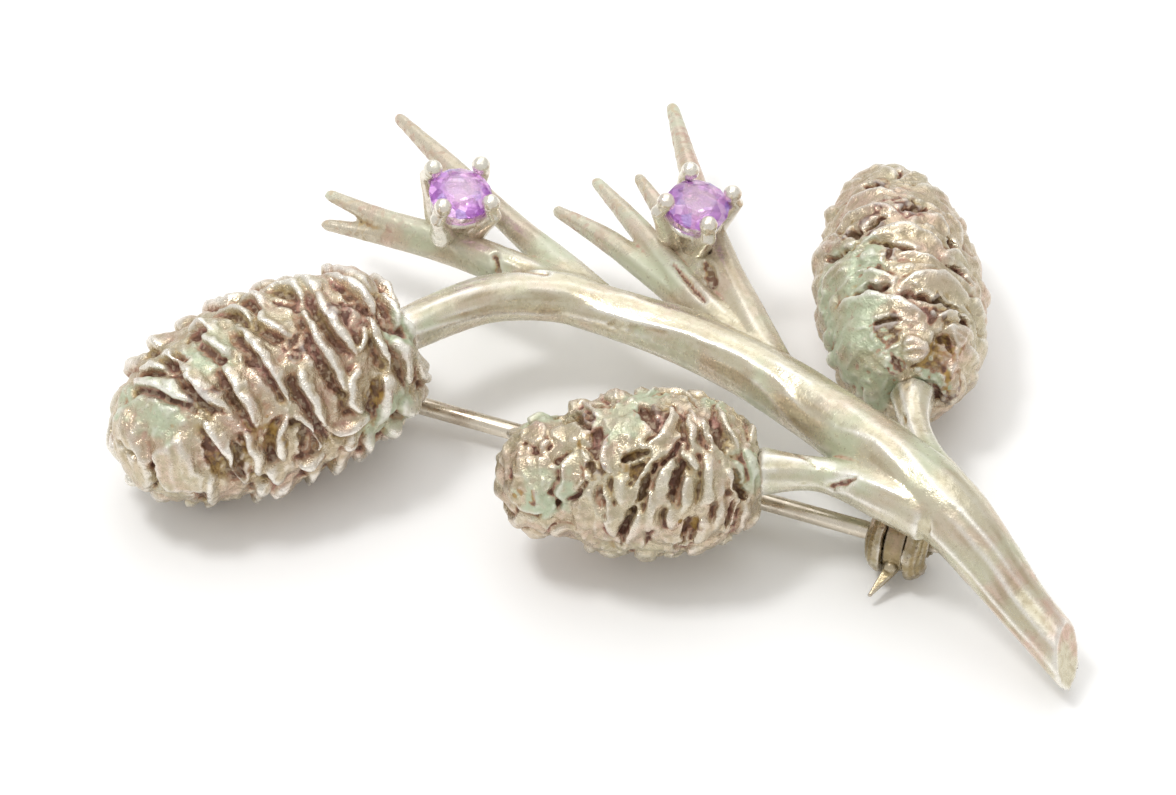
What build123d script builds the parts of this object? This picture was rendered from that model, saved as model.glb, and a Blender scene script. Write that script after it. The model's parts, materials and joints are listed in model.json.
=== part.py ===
from build123d import *
import os
from collections import namedtuple
from math import cos, pi, radians, sin, sqrt, tau

# Pine cone brooch, millimetres. It lies on its back: +Z is up, +X runs from the big cone
# to the cut end of the stem, and the needles fan out towards +Y.

# Overall reach of the spray, on which the routes of the stem, twigs and needles are laid out
spray_length = 58.8
spray_width = 45.0
stem_height = 6.6
stem_width = 4.0
cut_end_reach = 28.6
cut_heading = -23.8
cut_tilt = 19.9

# Cones: each one grows from the end of its stem or twig
left_cone_length = 18.8
left_cone_width = 12.8
left_cone_heading = 205.0
left_cone_tilt = -7.3
left_cone_rows = 12
left_cone_scales = 6
middle_cone_length = 15.4
middle_cone_width = 10.2
middle_cone_heading = 180.7
middle_cone_tilt = -0.7
middle_cone_rows = 9
middle_cone_scales = 6
right_cone_length = 18.1
right_cone_width = 10.6
right_cone_heading = 93.6
right_cone_tilt = -0.9
right_cone_rows = 10
right_cone_scales = 5
scale_depth = 0.95
scale_edge_share = 0.30

# Cut stones and their claw settings
stone_width = 4.0
table_share = 0.54
crown_height = 0.62
girdle_height = 0.12
pavilion_depth = 1.65
lower_facet_share = 0.3
stone_gap = 0.05
culet_gap = 0.1
collet_foot_width = 2.3
collet_wall = 0.34
collet_drop = 0.7
stone_seat_height = 3.4
claw_width = 0.62
claw_ball_width = 0.86
claw_hold_share = 0.9
claw_bulge = 0.15
claw_foot_height = 0.1
setting_lean_right = 8.0
setting_lean_front = 6.0

# Pin stem and its hinge
pin_width = 1.12
pin_point_width = 0.2
pin_taper_length = 6.0
pin_overhang = 3.5
neck_length = 2.3
neck_width = 1.1
cloth_room = 1.0
pivot_height = 1.45
knuckle_width = 2.2
knuckle_thickness = 1.2
hinge_gap = 0.05
knuckle_room = 0.15
rivet_width = 0.76
rivet_clearance = 0.03
rivet_head_width = 1.3
rivet_head_height = 0.25
ear_thickness = 0.55
ear_length = 2.6
bracket_plate = 0.6
bracket_sink = 1.9

# Roll-over catch: two cheeks on a back wall, and a slotted rotor that turns between them
catch_height = 2.4
cheek_width = 4.6
cheek_thickness = 0.5
cheek_bore_width = 2.0
rotor_width = 3.7
rotor_thickness = 1.3
rotor_gap = 0.05
rotor_room = 0.1
rotor_collar_width = 1.84
pin_channel_width = 1.38
catch_wall_from = -55.0
catch_wall_to = 108.0
catch_post_width = 2.0
lever_angle = 203.0
lever_reach = 4.5
lever_sink = 0.37
lever_width = 0.9
lever_tip_width = 0.45
lever_thickness = 0.5
lever_ball_width = 1.0
lever_ball_reach = 2.45

# Places on the spray, as shares of its length and width
HINGE_PLACE = (-0.240, 0.042)
CATCH_PLACE = (0.323, -0.256)

# Routes: x as a share of the spray's length, y of its width, z of the stem's height and
# w, the thickness there, of the stem's width
Station = namedtuple("Station", "x y z w")

MAIN_STEM = [
    Station(0.520, -0.520, 0.27, 0.78),
    Station(0.442, -0.409, 0.62, 0.80),
    Station(0.357, -0.279, 1.05, 1.12),
    Station(0.219, -0.082, 1.00, 1.00),
    Station(0.115, 0.020, 1.00, 0.88),
    Station(0.010, 0.085, 1.02, 0.78),
    Station(-0.041, 0.104, 1.05, 0.80),
    Station(-0.115, 0.086, 1.11, 0.72),
    Station(-0.197, 0.018, 1.18, 0.70),
]
RIGHT_TWIG = [
    Station(0.367, -0.256, 1.00, 0.75),
    Station(0.349, -0.182, 0.94, 0.53),
    Station(0.338, -0.112, 0.87, 0.47),
    Station(0.338, -0.049, 0.82, 0.72),
]
MIDDLE_TWIG = [
    Station(0.348, -0.300, 1.02, 0.85),
    Station(0.303, -0.262, 1.03, 0.80),
    Station(0.255, -0.227, 1.00, 0.60),
    Station(0.220, -0.218, 1.00, 0.55),
    Station(0.174, -0.216, 1.00, 0.74),
]
NEEDLES = [
    [
        Station(0.010, 0.095, 1.03, 0.58),
        Station(-0.037, 0.169, 1.05, 0.50),
        Station(-0.094, 0.264, 1.03, 0.40),
        Station(-0.156, 0.378, 0.97, 0.34),
        Station(-0.206, 0.473, 0.91, 0.20),
    ],
    [
        Station(-0.017, 0.108, 1.05, 0.58),
        Station(-0.082, 0.160, 1.05, 0.52),
        Station(-0.156, 0.222, 1.00, 0.40),
        Station(-0.219, 0.267, 0.95, 0.32),
        Station(-0.279, 0.320, 0.91, 0.19),
    ],
    [
        Station(-0.050, 0.130, 1.00, 0.50),
        Station(-0.146, 0.207, 0.90, 0.38),
        Station(-0.219, 0.254, 0.82, 0.32),
        Station(-0.282, 0.284, 0.76, 0.19),
    ],
    [
        Station(0.202, -0.060, 1.00, 0.66),
        Station(0.167, 0.051, 1.05, 0.65),
        Station(0.139, 0.164, 1.06, 0.54),
        Station(0.109, 0.344, 1.02, 0.37),
        Station(0.090, 0.493, 0.92, 0.21),
    ],
    [
        Station(0.130, 0.120, 1.02, 0.44),
        Station(0.088, 0.249, 0.98, 0.34),
        Station(0.053, 0.349, 0.94, 0.19),
    ],
    [
        Station(0.160, 0.027, 1.03, 0.55),
        Station(0.104, 0.118, 1.03, 0.48),
        Station(0.054, 0.240, 0.98, 0.36),
        Station(0.008, 0.344, 0.92, 0.19),
    ],
    [
        Station(0.150, 0.026, 0.94, 0.50),
        Station(0.092, 0.122, 0.94, 0.42),
        Station(0.024, 0.222, 0.93, 0.36),
        Station(-0.034, 0.291, 0.89, 0.19),
    ],
]

# Settings: the foot's place on the spray, as in the routes, and the turn of the claws
SettingPlace = namedtuple("SettingPlace", "name x y z claw_turn")
SETTINGS = [
    SettingPlace("left_stone", -0.145, 0.240, 1.03, 57.0),
    SettingPlace("right_stone", 0.106, 0.219, 1.02, 15.0),
]

# Outline of each cone: t along its axis from the base, girth as a share of its width
Outline = namedtuple("Outline", "t girth")
LEFT_OUTLINE = [
    Outline(0.00, 0.56), Outline(0.12, 0.84), Outline(0.30, 0.98), Outline(0.52, 1.00),
    Outline(0.74, 0.90), Outline(0.90, 0.68), Outline(1.00, 0.46),
]
MIDDLE_OUTLINE = [
    Outline(0.00, 0.50), Outline(0.14, 0.84), Outline(0.32, 1.00), Outline(0.58, 0.98),
    Outline(0.72, 0.86), Outline(0.84, 0.74), Outline(1.00, 0.46),
]
RIGHT_OUTLINE = [
    Outline(0.00, 0.46), Outline(0.12, 0.78), Outline(0.34, 0.98), Outline(0.56, 1.00),
    Outline(0.76, 0.84), Outline(0.92, 0.62), Outline(1.00, 0.40),
]

# Blunt end of a needle: reach past its last station and girth there, as shares of its radius
BluntStep = namedtuple("BluntStep", "reach girth")
BLUNT_END = [BluntStep(0.7, 0.72), BluntStep(1.0, 0.3)]

# A scale rises over its row in these shares and drops behind its free edge
ROW_STEPS = (0.0, 0.45, 0.90)
COLUMNS_PER_SCALE = 5

Cone = namedtuple("Cone", "length width heading tilt rows scales outline")
CONES = {
    "left": Cone(left_cone_length, left_cone_width, left_cone_heading, left_cone_tilt,
                 left_cone_rows, left_cone_scales, LEFT_OUTLINE),
    "middle": Cone(middle_cone_length, middle_cone_width, middle_cone_heading,
                   middle_cone_tilt, middle_cone_rows, middle_cone_scales, MIDDLE_OUTLINE),
    "right": Cone(right_cone_length, right_cone_width, right_cone_heading,
                  right_cone_tilt, right_cone_rows, right_cone_scales, RIGHT_OUTLINE),
}


def at(station):
    """The point that a row of a route stands for."""
    return Vector(station.x * spray_length, station.y * spray_width, station.z * stem_height)


def limb(route, rounded=False):
    """A stem, twig or needle: round sections along its route, with a blunt rounded tip."""
    points = [at(station) for station in route]
    radii = [station.w * stem_width / 2 for station in route]
    if rounded:
        end = (points[-1] - points[-2]).normalized()
        tip, blunt = points[-1], radii[-1]
        points += [tip + end * blunt * step.reach for step in BLUNT_END]
        radii += [blunt * step.girth for step in BLUNT_END]
    sections = []
    for i, point in enumerate(points):
        along = points[min(i + 1, len(points) - 1)] - points[max(i - 1, 0)]
        plane = Plane(origin=point, x_dir=along.cross(Vector(0, 0, 1)), z_dir=along)
        sections.append(Wire.make_circle(radii[i], plane))
    return Solid.make_loft(sections, ruled=True)


def direction(heading, tilt):
    """Unit vector from a heading in the floor plane and a tilt above it, in degrees."""
    level = cos(radians(tilt))
    return Vector(cos(radians(heading)) * level, sin(radians(heading)) * level, sin(radians(tilt)))


def girth_at(outline, t):
    """Share of the cone's width at t, eased between the outline's rows."""
    for low, high in zip(outline, outline[1:]):
        if t <= high.t:
            share = (t - low.t) / (high.t - low.t)
            return low.girth + (high.girth - low.girth) * share
    return outline[-1].girth


def triangle(a, b, c):
    """One flat facet."""
    return Face(Wire.make_polygon([a, b, c], close=True))


def closed_solid(faces):
    """One solid from the facets that close it."""
    return Solid(Shell(faces))


def cone_rings(cone):
    """Stations along a cone: for each, its place t, and how far its scale has risen."""
    stations = []
    for row in range(cone.rows):
        for step in ROW_STEPS:
            stations.append(((row + step) / cone.rows, row, step))
    return stations


def cone_radius(cone, t, row, rise, turn):
    """Distance from the axis to the scaly surface."""
    half_turn = 0.5 * (row % 2)
    across = (turn * cone.scales + half_turn) % 1.0
    bulge = scale_edge_share + (1 - scale_edge_share) * sin(pi * across)
    lift = (rise / ROW_STEPS[-1]) * bulge
    return girth_at(cone.outline, t) * cone.width / 2 - scale_depth * (1 - lift)


def pine_cone(cone, base):
    """A cone of overlapping scales, in staggered rows whose free edges face the tip."""
    axis = direction(cone.heading, cone.tilt)
    side = axis.cross(Vector(0, 0, 1)).normalized()
    up = side.cross(axis)
    columns = cone.scales * COLUMNS_PER_SCALE
    grid = []
    for t, row, rise in cone_rings(cone):
        ring = []
        for column in range(columns):
            turn = column / columns
            radius = cone_radius(cone, t, row, rise, turn)
            out = side * cos(tau * turn) + up * sin(tau * turn)
            ring.append(base + axis * (t * cone.length) + out * radius)
        grid.append(ring)
    tip = base + axis * cone.length
    faces = []
    for column in range(columns):
        beside = (column + 1) % columns
        faces.append(triangle(base, grid[0][beside], grid[0][column]))
        faces.append(triangle(tip, grid[-1][column], grid[-1][beside]))
        for low, high in zip(grid, grid[1:]):
            faces.append(triangle(low[column], low[beside], high[column]))
            faces.append(triangle(low[beside], high[beside], high[column]))
    return closed_solid(faces)


def setting_frame(place):
    """Where a setting stands, with +Z up its own leaning axis."""
    foot = at(Station(place.x, place.y, place.z, 0))
    lean = Rotation(setting_lean_front, setting_lean_right, 0)
    return Location(foot) * lean


def cut_stone():
    """Round stone with a table, crown and pavilion facets and a thin girdle, girdle at z=0."""
    radius = stone_width / 2
    table = radius * table_share
    mid = (radius + table) / 2
    low = radius * lower_facet_share
    eighth = tau / 8

    def ring_point(distance, eighths, height):
        angle = eighths * eighth
        return Vector(distance * cos(angle), distance * sin(angle), height)

    fall = cos(eighth / 2)
    mid_height = girdle_height / 2 + crown_height * (radius - mid * fall) / (radius - table)
    low_height = -girdle_height / 2 - pavilion_depth * (1 - low * fall / radius)
    top_height = girdle_height / 2 + crown_height
    culet = Vector(0, 0, -girdle_height / 2 - pavilion_depth)
    table_ring = [ring_point(table, k, top_height) for k in range(8)]
    mid_ring = [ring_point(mid, k + 0.5, mid_height) for k in range(8)]
    low_ring = [ring_point(low, k + 0.5, low_height) for k in range(8)]
    above = [ring_point(radius, k / 2, girdle_height / 2) for k in range(16)]
    below = [ring_point(radius, k / 2, -girdle_height / 2) for k in range(16)]
    faces = [Face(Wire.make_polygon(table_ring, close=True))]
    for k in range(8):
        beside = (k + 1) % 8
        before = k - 1
        faces.append(triangle(table_ring[k], mid_ring[k], table_ring[beside]))
        faces.append(triangle(table_ring[k], mid_ring[before], above[2 * k]))
        faces.append(triangle(table_ring[k], above[2 * k], mid_ring[k]))
        faces.append(triangle(mid_ring[k], above[2 * k], above[2 * k + 1]))
        faces.append(triangle(mid_ring[k], above[2 * k + 1], above[(2 * k + 2) % 16]))
        faces.append(triangle(culet, low_ring[before], below[2 * k]))
        faces.append(triangle(culet, below[2 * k], low_ring[k]))
        faces.append(triangle(low_ring[k], below[2 * k], below[2 * k + 1]))
        faces.append(triangle(low_ring[k], below[2 * k + 1], below[(2 * k + 2) % 16]))
    for k in range(16):
        beside = (k + 1) % 16
        faces.append(Face(Wire.make_polygon(
            [above[k], above[beside], below[beside], below[k]], close=True)))
    return closed_solid(faces)


def pavilion_radius(drop):
    """Radius of the stone's underside at a drop below its girdle."""
    return stone_width / 2 * (1 - drop / pavilion_depth)


def claw(angle):
    """One claw: a round wire from the collet's foot, past the girdle, to its ball."""
    girdle = stone_width / 2
    wire = claw_width / 2
    ball = claw_ball_width / 2
    table = girdle * table_share
    slope = sqrt((girdle - table) ** 2 + crown_height ** 2)
    normal_out = crown_height / slope
    normal_up = (girdle - table) / slope
    hold = girdle * claw_hold_share
    hold_drop = crown_height * (1 - (girdle - hold) / (girdle - table))
    hold_height = stone_seat_height + girdle_height / 2 + crown_height - hold_drop
    clear = ball + stone_gap
    ball_out = hold + clear * normal_out
    ball_up = hold_height + clear * normal_up
    past = girdle + stone_gap + wire
    foot = collet_foot_width / 2
    path = [
        (foot, claw_foot_height),
        ((foot + past) / 2 + claw_bulge, stone_seat_height / 2),
        (past, stone_seat_height),
        (ball_out, ball_up),
    ]
    sections = []
    for i, (out, height) in enumerate(path):
        before, after = path[max(i - 1, 0)], path[min(i + 1, len(path) - 1)]
        along = Vector(after[0] - before[0], 0, after[1] - before[1])
        plane = Plane(origin=Vector(out, 0, height), x_dir=Vector(0, 1, 0), z_dir=along)
        sections.append(Wire.make_circle(wire, plane))
    shaft = Solid.make_loft(sections, ruled=True)
    tip = Solid.make_sphere(ball, Plane.XY.offset(ball_up), angle1=-90, angle2=90)
    tip = tip.moved(Location((ball_out, 0, 0)))
    return shaft.fuse(tip).moved(Rotation(0, 0, angle))


def setting(place):
    """Tapered collet under the stone, with four ball-tipped claws."""
    top = stone_seat_height - collet_drop
    bore_top = pavilion_radius(collet_drop) + stone_gap
    culet_height = stone_seat_height - girdle_height / 2 - pavilion_depth
    outside = Solid.make_cone(collet_foot_width / 2, bore_top + collet_wall, top)
    bore_bottom = culet_height - culet_gap
    bore = Solid.make_cone(
        stone_gap, bore_top + stone_gap, top - bore_bottom, Plane.XY.offset(bore_bottom))
    collet = outside.cut(bore)
    claws = [claw(place.claw_turn + 90 * k) for k in range(4)]
    return collet.fuse(*claws).moved(setting_frame(place))


def stone(place):
    """The stone, level with its girdle over the collet."""
    return cut_stone().moved(setting_frame(place) * Location((0, 0, stone_seat_height)))


def pin_ends():
    """Hinge pivot and catch centre, the two points on the pin's line."""
    pivot = Vector(HINGE_PLACE[0] * spray_length, HINGE_PLACE[1] * spray_width, pivot_height)
    catch = Vector(CATCH_PLACE[0] * spray_length, CATCH_PLACE[1] * spray_width, catch_height)
    return pivot, catch


def pin_direction():
    """Unit vector along the closed pin."""
    pivot, catch = pin_ends()
    return (catch - pivot).normalized()


def hinge_frame():
    """Frame at the pivot: +X level under the pin, +Y along the rivet, +Z up."""
    level = pin_direction()
    level.Z = 0
    return Plane(origin=pin_ends()[0], x_dir=level, z_dir=Vector(0, 0, 1)).location


def pin_frame(centre):
    """Frame on the pin's line: +X along the pin, +Y across it, +Z away from the floor."""
    along = pin_direction()
    across = Vector(0, 0, 1).cross(along)
    return Plane(origin=centre, x_dir=along, z_dir=along.cross(across)).location


def rod(radius, length, start=0.0):
    """Round bar along +X from start."""
    plane = Plane(origin=Vector(start, 0, 0), z_dir=Vector(1, 0, 0))
    return Solid.make_cylinder(radius, length, plane)


def cross_rod(radius, length):
    """Round bar along Y, centred."""
    plane = Plane(origin=Vector(0, -length / 2, 0), z_dir=Vector(0, 1, 0))
    return Solid.make_cylinder(radius, length, plane)


def block(low, high):
    """Box between two corners."""
    size = [b - a for a, b in zip(low, high)]
    return Solid.make_box(*size, Plane(origin=Vector(*low)))


def bracket_width():
    """Outer width of the hinge bracket along its rivet."""
    return knuckle_thickness + 2 * hinge_gap + 2 * ear_thickness


def knuckle_roof():
    """Height over the pivot of the bracket's plate, clear of the pin's knuckle."""
    return knuckle_width / 2 + knuckle_room


def hinge_bracket():
    """Two ears under a plate that is soldered into the belly of the big cone."""
    half = bracket_width() / 2
    inner = knuckle_thickness / 2 + hinge_gap
    length = ear_length / 2
    top = knuckle_roof() + bracket_plate + bracket_sink
    outer = block((-length, -half, -pivot_height), (length, half, top))
    room = block((-ear_length, -inner, -2 * pivot_height), (ear_length, inner, knuckle_roof()))
    rivet_hole = cross_rod(rivet_width / 2 + rivet_clearance, 2 * bracket_width())
    return outer.cut(room, rivet_hole).moved(hinge_frame())


def rivet_grip():
    """Length of the rivet between its heads."""
    return bracket_width() + 2 * rivet_clearance


def hinge_bay():
    """Space under the big cone for the ears, the pin's knuckle and the rivet's heads."""
    half = rivet_grip() / 2 + rivet_head_height + hinge_gap
    low = (-ear_length, -half, -2 * pivot_height)
    return block(low, (ear_length, half, knuckle_roof())).moved(hinge_frame())


def cloth_groove():
    """Round room along the pin, from the hinge to the catch, for the cloth that it gathers."""
    pivot, catch = pin_ends()
    start = ear_length / 2
    length = (catch - pivot).length - start - catch_width() / 2
    return rod(pin_width / 2 + cloth_room, length, start).moved(pin_frame(pivot))


def hinge_rivet():
    """Rivet through both ears, headed on each side."""
    length = rivet_grip() + 2 * rivet_head_height
    shank = cross_rod(rivet_width / 2, length)
    heads = cross_rod(rivet_head_width / 2, length).cut(cross_rod(rivet_head_width, rivet_grip()))
    return shank.fuse(heads).moved(hinge_frame())


def pin_stem():
    """Knuckle on the rivet with a square neck, and the wire that tapers to a point."""
    pivot, catch = pin_ends()
    plain = (catch - pivot).length + pin_overhang - pin_taper_length
    knuckle = cross_rod(knuckle_width / 2, knuckle_thickness).moved(hinge_frame())
    half = neck_width / 2
    neck = block((0, -half, -half), (neck_length, half, half))
    wire = rod(pin_width / 2, plain - neck_length, neck_length)
    point_plane = Plane(origin=Vector(plain, 0, 0), z_dir=Vector(1, 0, 0))
    point = Solid.make_cone(pin_width / 2, pin_point_width / 2, pin_taper_length, point_plane)
    eye = cross_rod(rivet_width / 2 + rivet_clearance, 2 * knuckle_thickness).moved(hinge_frame())
    needle = neck.fuse(wire, point).moved(pin_frame(pivot))
    return knuckle.fuse(needle).cut(eye)


def catch_width():
    """Width of the catch along the pin, over both cheeks."""
    return rotor_thickness + 2 * rotor_gap + 2 * cheek_thickness


def sector(angle_from, angle_to, radius, thickness):
    """Wedge about X between two angles, measured from +Y towards +Z, centred on x=0."""
    span = angle_to - angle_from
    plane = Plane(
        origin=Vector(-thickness / 2, 0, 0),
        x_dir=Vector(0, cos(radians(angle_from)), sin(radians(angle_from))),
        z_dir=Vector(1, 0, 0))
    return Solid.make_cylinder(radius, thickness, plane, angle=span)


def channel(width, reach, thickness):
    """Straight slot that runs down from the pin's line, for the pin to come in by."""
    return block((-thickness, -width / 2, -reach), (thickness, width / 2, 0))


def rotor_space():
    """Round space between the cheeks in which the rotor turns, centred on the pin's line."""
    gap = rotor_thickness + 2 * rotor_gap
    return rod(rotor_width / 2 + rotor_room, gap, -gap / 2)


def catch_housing():
    """Two slotted cheeks joined by a wall over the rotor, with a post up into the stem."""
    width = catch_width()
    outer = cheek_width / 2
    disc = rod(outer, width, -width / 2)
    open_side = sector(catch_wall_to, catch_wall_from + 360, 2 * outer, rotor_thickness + 2 * rotor_gap)
    bore = rod(cheek_bore_width / 2, 2 * width, -width)
    slot = channel(pin_channel_width, 2 * outer, 2 * width)
    housing = disc.cut(rotor_space(), open_side, bore, slot)
    post_foot = (rotor_width / 2 + rotor_room + outer) / 2
    post_height = stem_height - catch_height - post_foot
    post = Solid.make_cylinder(
        catch_post_width / 2, post_height, Plane(origin=Vector(0, 0, post_foot)))
    return housing.fuse(post).moved(pin_frame(pin_ends()[1]))


def catch_bay():
    """The rotor's space, to be kept free of the stem and its twig."""
    return rotor_space().moved(pin_frame(pin_ends()[1]))


def catch_rotor():
    """Slotted drum with a collar in each cheek, and a lever with a ball for the finger."""
    width = catch_width()
    drum = rod(rotor_width / 2, rotor_thickness, -rotor_thickness / 2)
    collar = rod(rotor_collar_width / 2, width, -width / 2)
    start = rotor_width / 2 - lever_sink
    lever = Solid.make_loft([
        Wire.make_rect(lever_width, lever_thickness, Plane.XY.offset(start)),
        Wire.make_rect(lever_tip_width, lever_thickness / 2, Plane.XY.offset(lever_reach)),
    ], ruled=True)
    ball = Solid.make_sphere(lever_ball_width / 2, Plane.XY, angle1=-90, angle2=90)
    ball = ball.moved(Location((0, 0, lever_ball_reach)))
    grip = lever.fuse(ball).moved(Rotation(lever_angle - 90, 0, 0))
    pin_room = rod(pin_channel_width / 2, 2 * width, -width)
    slot = channel(pin_channel_width, 2 * rotor_width, 2 * width)
    body = drum.fuse(collar, grip).cut(pin_room, slot)
    return body.moved(pin_frame(pin_ends()[1]))


def main_stem():
    """The stem, with its end cut off at a slant."""
    stem = limb(MAIN_STEM)
    slant = direction(cut_heading, cut_tilt)
    last = at(MAIN_STEM[0])
    before = at(MAIN_STEM[1])
    share = (cut_end_reach - before.X) / (last.X - before.X)
    cut_point = before + (last - before) * share
    side = 4 * stem_width
    waste = Solid.make_box(side, side, side, Plane(origin=Vector(-side / 2, -side / 2, 0)))
    frame = Plane(origin=cut_point, z_dir=slant).location
    return stem.cut(waste.moved(frame))


def silver_spray():
    """Stem, twigs, needles, cones, settings, hinge bracket and catch, soldered into one."""
    left = pine_cone(CONES["left"], at(MAIN_STEM[-1]))
    middle = pine_cone(CONES["middle"], at(MIDDLE_TWIG[-1]))
    right = pine_cone(CONES["right"], at(RIGHT_TWIG[-1]))
    pieces = [left.cut(hinge_bay(), cloth_groove()), middle.cut(cloth_groove()), right]
    pieces += [limb(RIGHT_TWIG), limb(MIDDLE_TWIG).cut(catch_bay())]
    pieces += [limb(route, rounded=True) for route in NEEDLES]
    pieces += [setting(place) for place in SETTINGS]
    pieces += [hinge_bracket(), catch_housing()]
    return main_stem().cut(catch_bay()).fuse(*pieces)


def build():
    """Every node by name, in the spray's own layout."""
    nodes = {"silver_spray": silver_spray()}
    for place in SETTINGS:
        nodes[place.name] = stone(place)
    nodes["hinge_rivet"] = hinge_rivet()
    nodes["pin_stem"] = pin_stem()
    nodes["catch_rotor"] = catch_rotor()
    return nodes


def settle(nodes):
    """Move all nodes together, so that the brooch is centred and stands on z=0."""
    box = Compound(children=[Compound([shape]) for shape in nodes.values()]).bounding_box()
    shift = Location((-box.center().X, -box.center().Y, -box.min.Z))
    return {name: shape.moved(shift) for name, shape in nodes.items()}, shift


brooch, floor_shift = settle(build())
os.makedirs("parts", exist_ok=True)
for node, shape in brooch.items():
    export_step(shape, f"parts/{node}.step")
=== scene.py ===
import json
from collections import namedtuple
from math import acos, atan2, cos, degrees, hypot, pi, radians, sin, tau

import bpy
import numpy as np
from mathutils import Matrix, Vector

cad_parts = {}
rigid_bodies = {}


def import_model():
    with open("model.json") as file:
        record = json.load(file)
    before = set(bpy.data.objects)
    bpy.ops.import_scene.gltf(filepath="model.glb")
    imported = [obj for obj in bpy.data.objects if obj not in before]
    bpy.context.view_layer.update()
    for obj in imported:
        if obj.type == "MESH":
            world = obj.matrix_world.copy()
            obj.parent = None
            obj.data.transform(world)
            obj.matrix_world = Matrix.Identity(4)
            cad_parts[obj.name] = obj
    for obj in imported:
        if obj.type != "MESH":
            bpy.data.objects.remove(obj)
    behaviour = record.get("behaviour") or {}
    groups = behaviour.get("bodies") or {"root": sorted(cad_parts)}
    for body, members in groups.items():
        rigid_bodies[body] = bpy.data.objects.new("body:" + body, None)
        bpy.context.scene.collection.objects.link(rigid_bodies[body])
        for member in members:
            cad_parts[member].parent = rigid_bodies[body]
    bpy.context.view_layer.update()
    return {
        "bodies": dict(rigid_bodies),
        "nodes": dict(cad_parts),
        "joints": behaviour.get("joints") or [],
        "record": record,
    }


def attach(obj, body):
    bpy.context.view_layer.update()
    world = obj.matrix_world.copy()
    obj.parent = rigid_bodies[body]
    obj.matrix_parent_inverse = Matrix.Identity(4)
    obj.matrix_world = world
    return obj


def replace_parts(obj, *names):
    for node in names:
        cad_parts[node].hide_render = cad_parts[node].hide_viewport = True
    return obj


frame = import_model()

# Silver spray brooch with three pine cones, needle tufts and two claw-set stones.
# Shapes are worked out in millimetres and written to Blender in metres.
MM = 0.001

# Driving sizes, the same as the solid model's
SPRAY_LENGTH = 58.8
SPRAY_WIDTH = 45.0
STEM_HEIGHT = 6.6
STEM_WIDTH = 4.0
SPRAY_OFFSET = Vector((0.115, 0.182, 0.0))
STONE_WIDTH = 4.0
STONE_SEAT_HEIGHT = 3.4
SETTING_LEAN_RIGHT = 8.0
SETTING_LEAN_FRONT = 6.0
CUT_END_REACH = 28.6
CUT_HEADING = -23.8
CUT_TILT = 19.9

# Hinge and catch, the same as the solid model's
HINGE_PLACE = (-0.240, 0.042)
CATCH_PLACE = (0.323, -0.256)
PIVOT_HEIGHT = 1.45
CATCH_HEIGHT = 2.4
KNUCKLE_WIDTH = 2.2
KNUCKLE_THICKNESS = 1.2
KNUCKLE_ROOM = 0.15
HINGE_GAP = 0.05
EAR_THICKNESS = 0.55
EAR_LENGTH = 2.6
BRACKET_PLATE = 0.6
BRACKET_SINK = 1.9
CHEEK_WIDTH = 4.6
CHEEK_THICKNESS = 0.5
CHEEK_BORE_WIDTH = 2.0
ROTOR_WIDTH = 3.7
ROTOR_THICKNESS = 1.3
ROTOR_GAP = 0.05
ROTOR_ROOM = 0.1
PIN_CHANNEL_WIDTH = 1.38
POST_WIDTH = 2.0
WALL_FROM = -55.0
WALL_TO = 108.0

# Camera, looking along +Y and down at the brooch
PHOTO_WIDTH = 1176
CAMERA_RISE = 47.0
CAMERA_LENS = 200.0
CAMERA_SENSOR = 36.0
CAMERA_TARGET = Vector((0.0, -2.85, 6.0))

# Floor and soft lights, in metres and watts: name, place, size and power
FLOOR_REACH = 1.2
LIGHTS = [
    ("top softbox", (0.02, 0.08, 0.42), 0.45, 0.45),
    ("key light", (-0.14, 0.00, 0.36), 0.08, 0.45),
    ("back card", (0.05, 0.40, 0.34), 0.40, 0.35),
]

# Where the photo shows the frame's origin, and its pixels for a millimetre to the right, back and up
PHOTO_ORIGIN = (588.1, 430.2)
PIXELS_PER_MM = 16.3
PIXELS_PER_MM_BACK = 11.92
PIXELS_PER_MM_UP = 11.12

# Beads in a cone's hollows, and the tilts of the rings that round one off
CONE_BEADS = 90
BEAD_TILTS = (-62, -25, 12, 45, 72)

# Size of one cell when overlapping shapes are fused into one skin
FINDING_CELL = 0.085
LIMB_CELL = 0.15
SETTING_CELL = 0.065
ROTOR_CELL = 0.06

# Routes of stem, twigs and needles: places as shares of the spray's length, its width and the stem's
# height, and thickness as a share of the stem's
Station = namedtuple("Station", "x y z w")


def route(*rows):
    """A limb's route from rows of numbers."""
    return [Station(*row) for row in rows]


MAIN_STEM = route(
    (0.520, -0.520, 0.27, 0.78), (0.442, -0.409, 0.62, 0.80), (0.357, -0.279, 1.05, 1.12),
    (0.219, -0.082, 1.00, 1.00), (0.115, 0.020, 1.00, 0.88), (0.010, 0.085, 1.02, 0.78),
    (-0.041, 0.104, 1.05, 0.80), (-0.115, 0.086, 1.11, 0.72), (-0.197, 0.018, 1.18, 0.70),
)
RIGHT_TWIG = route(
    (0.367, -0.256, 1.00, 0.75), (0.349, -0.182, 0.94, 0.53), (0.338, -0.112, 0.87, 0.47),
    (0.338, -0.049, 0.82, 0.72),
)
MIDDLE_TWIG = route(
    (0.348, -0.300, 1.02, 0.85), (0.303, -0.262, 1.03, 0.80), (0.255, -0.227, 1.00, 0.60),
    (0.220, -0.218, 1.00, 0.55), (0.174, -0.216, 1.00, 0.74),
)
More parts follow.
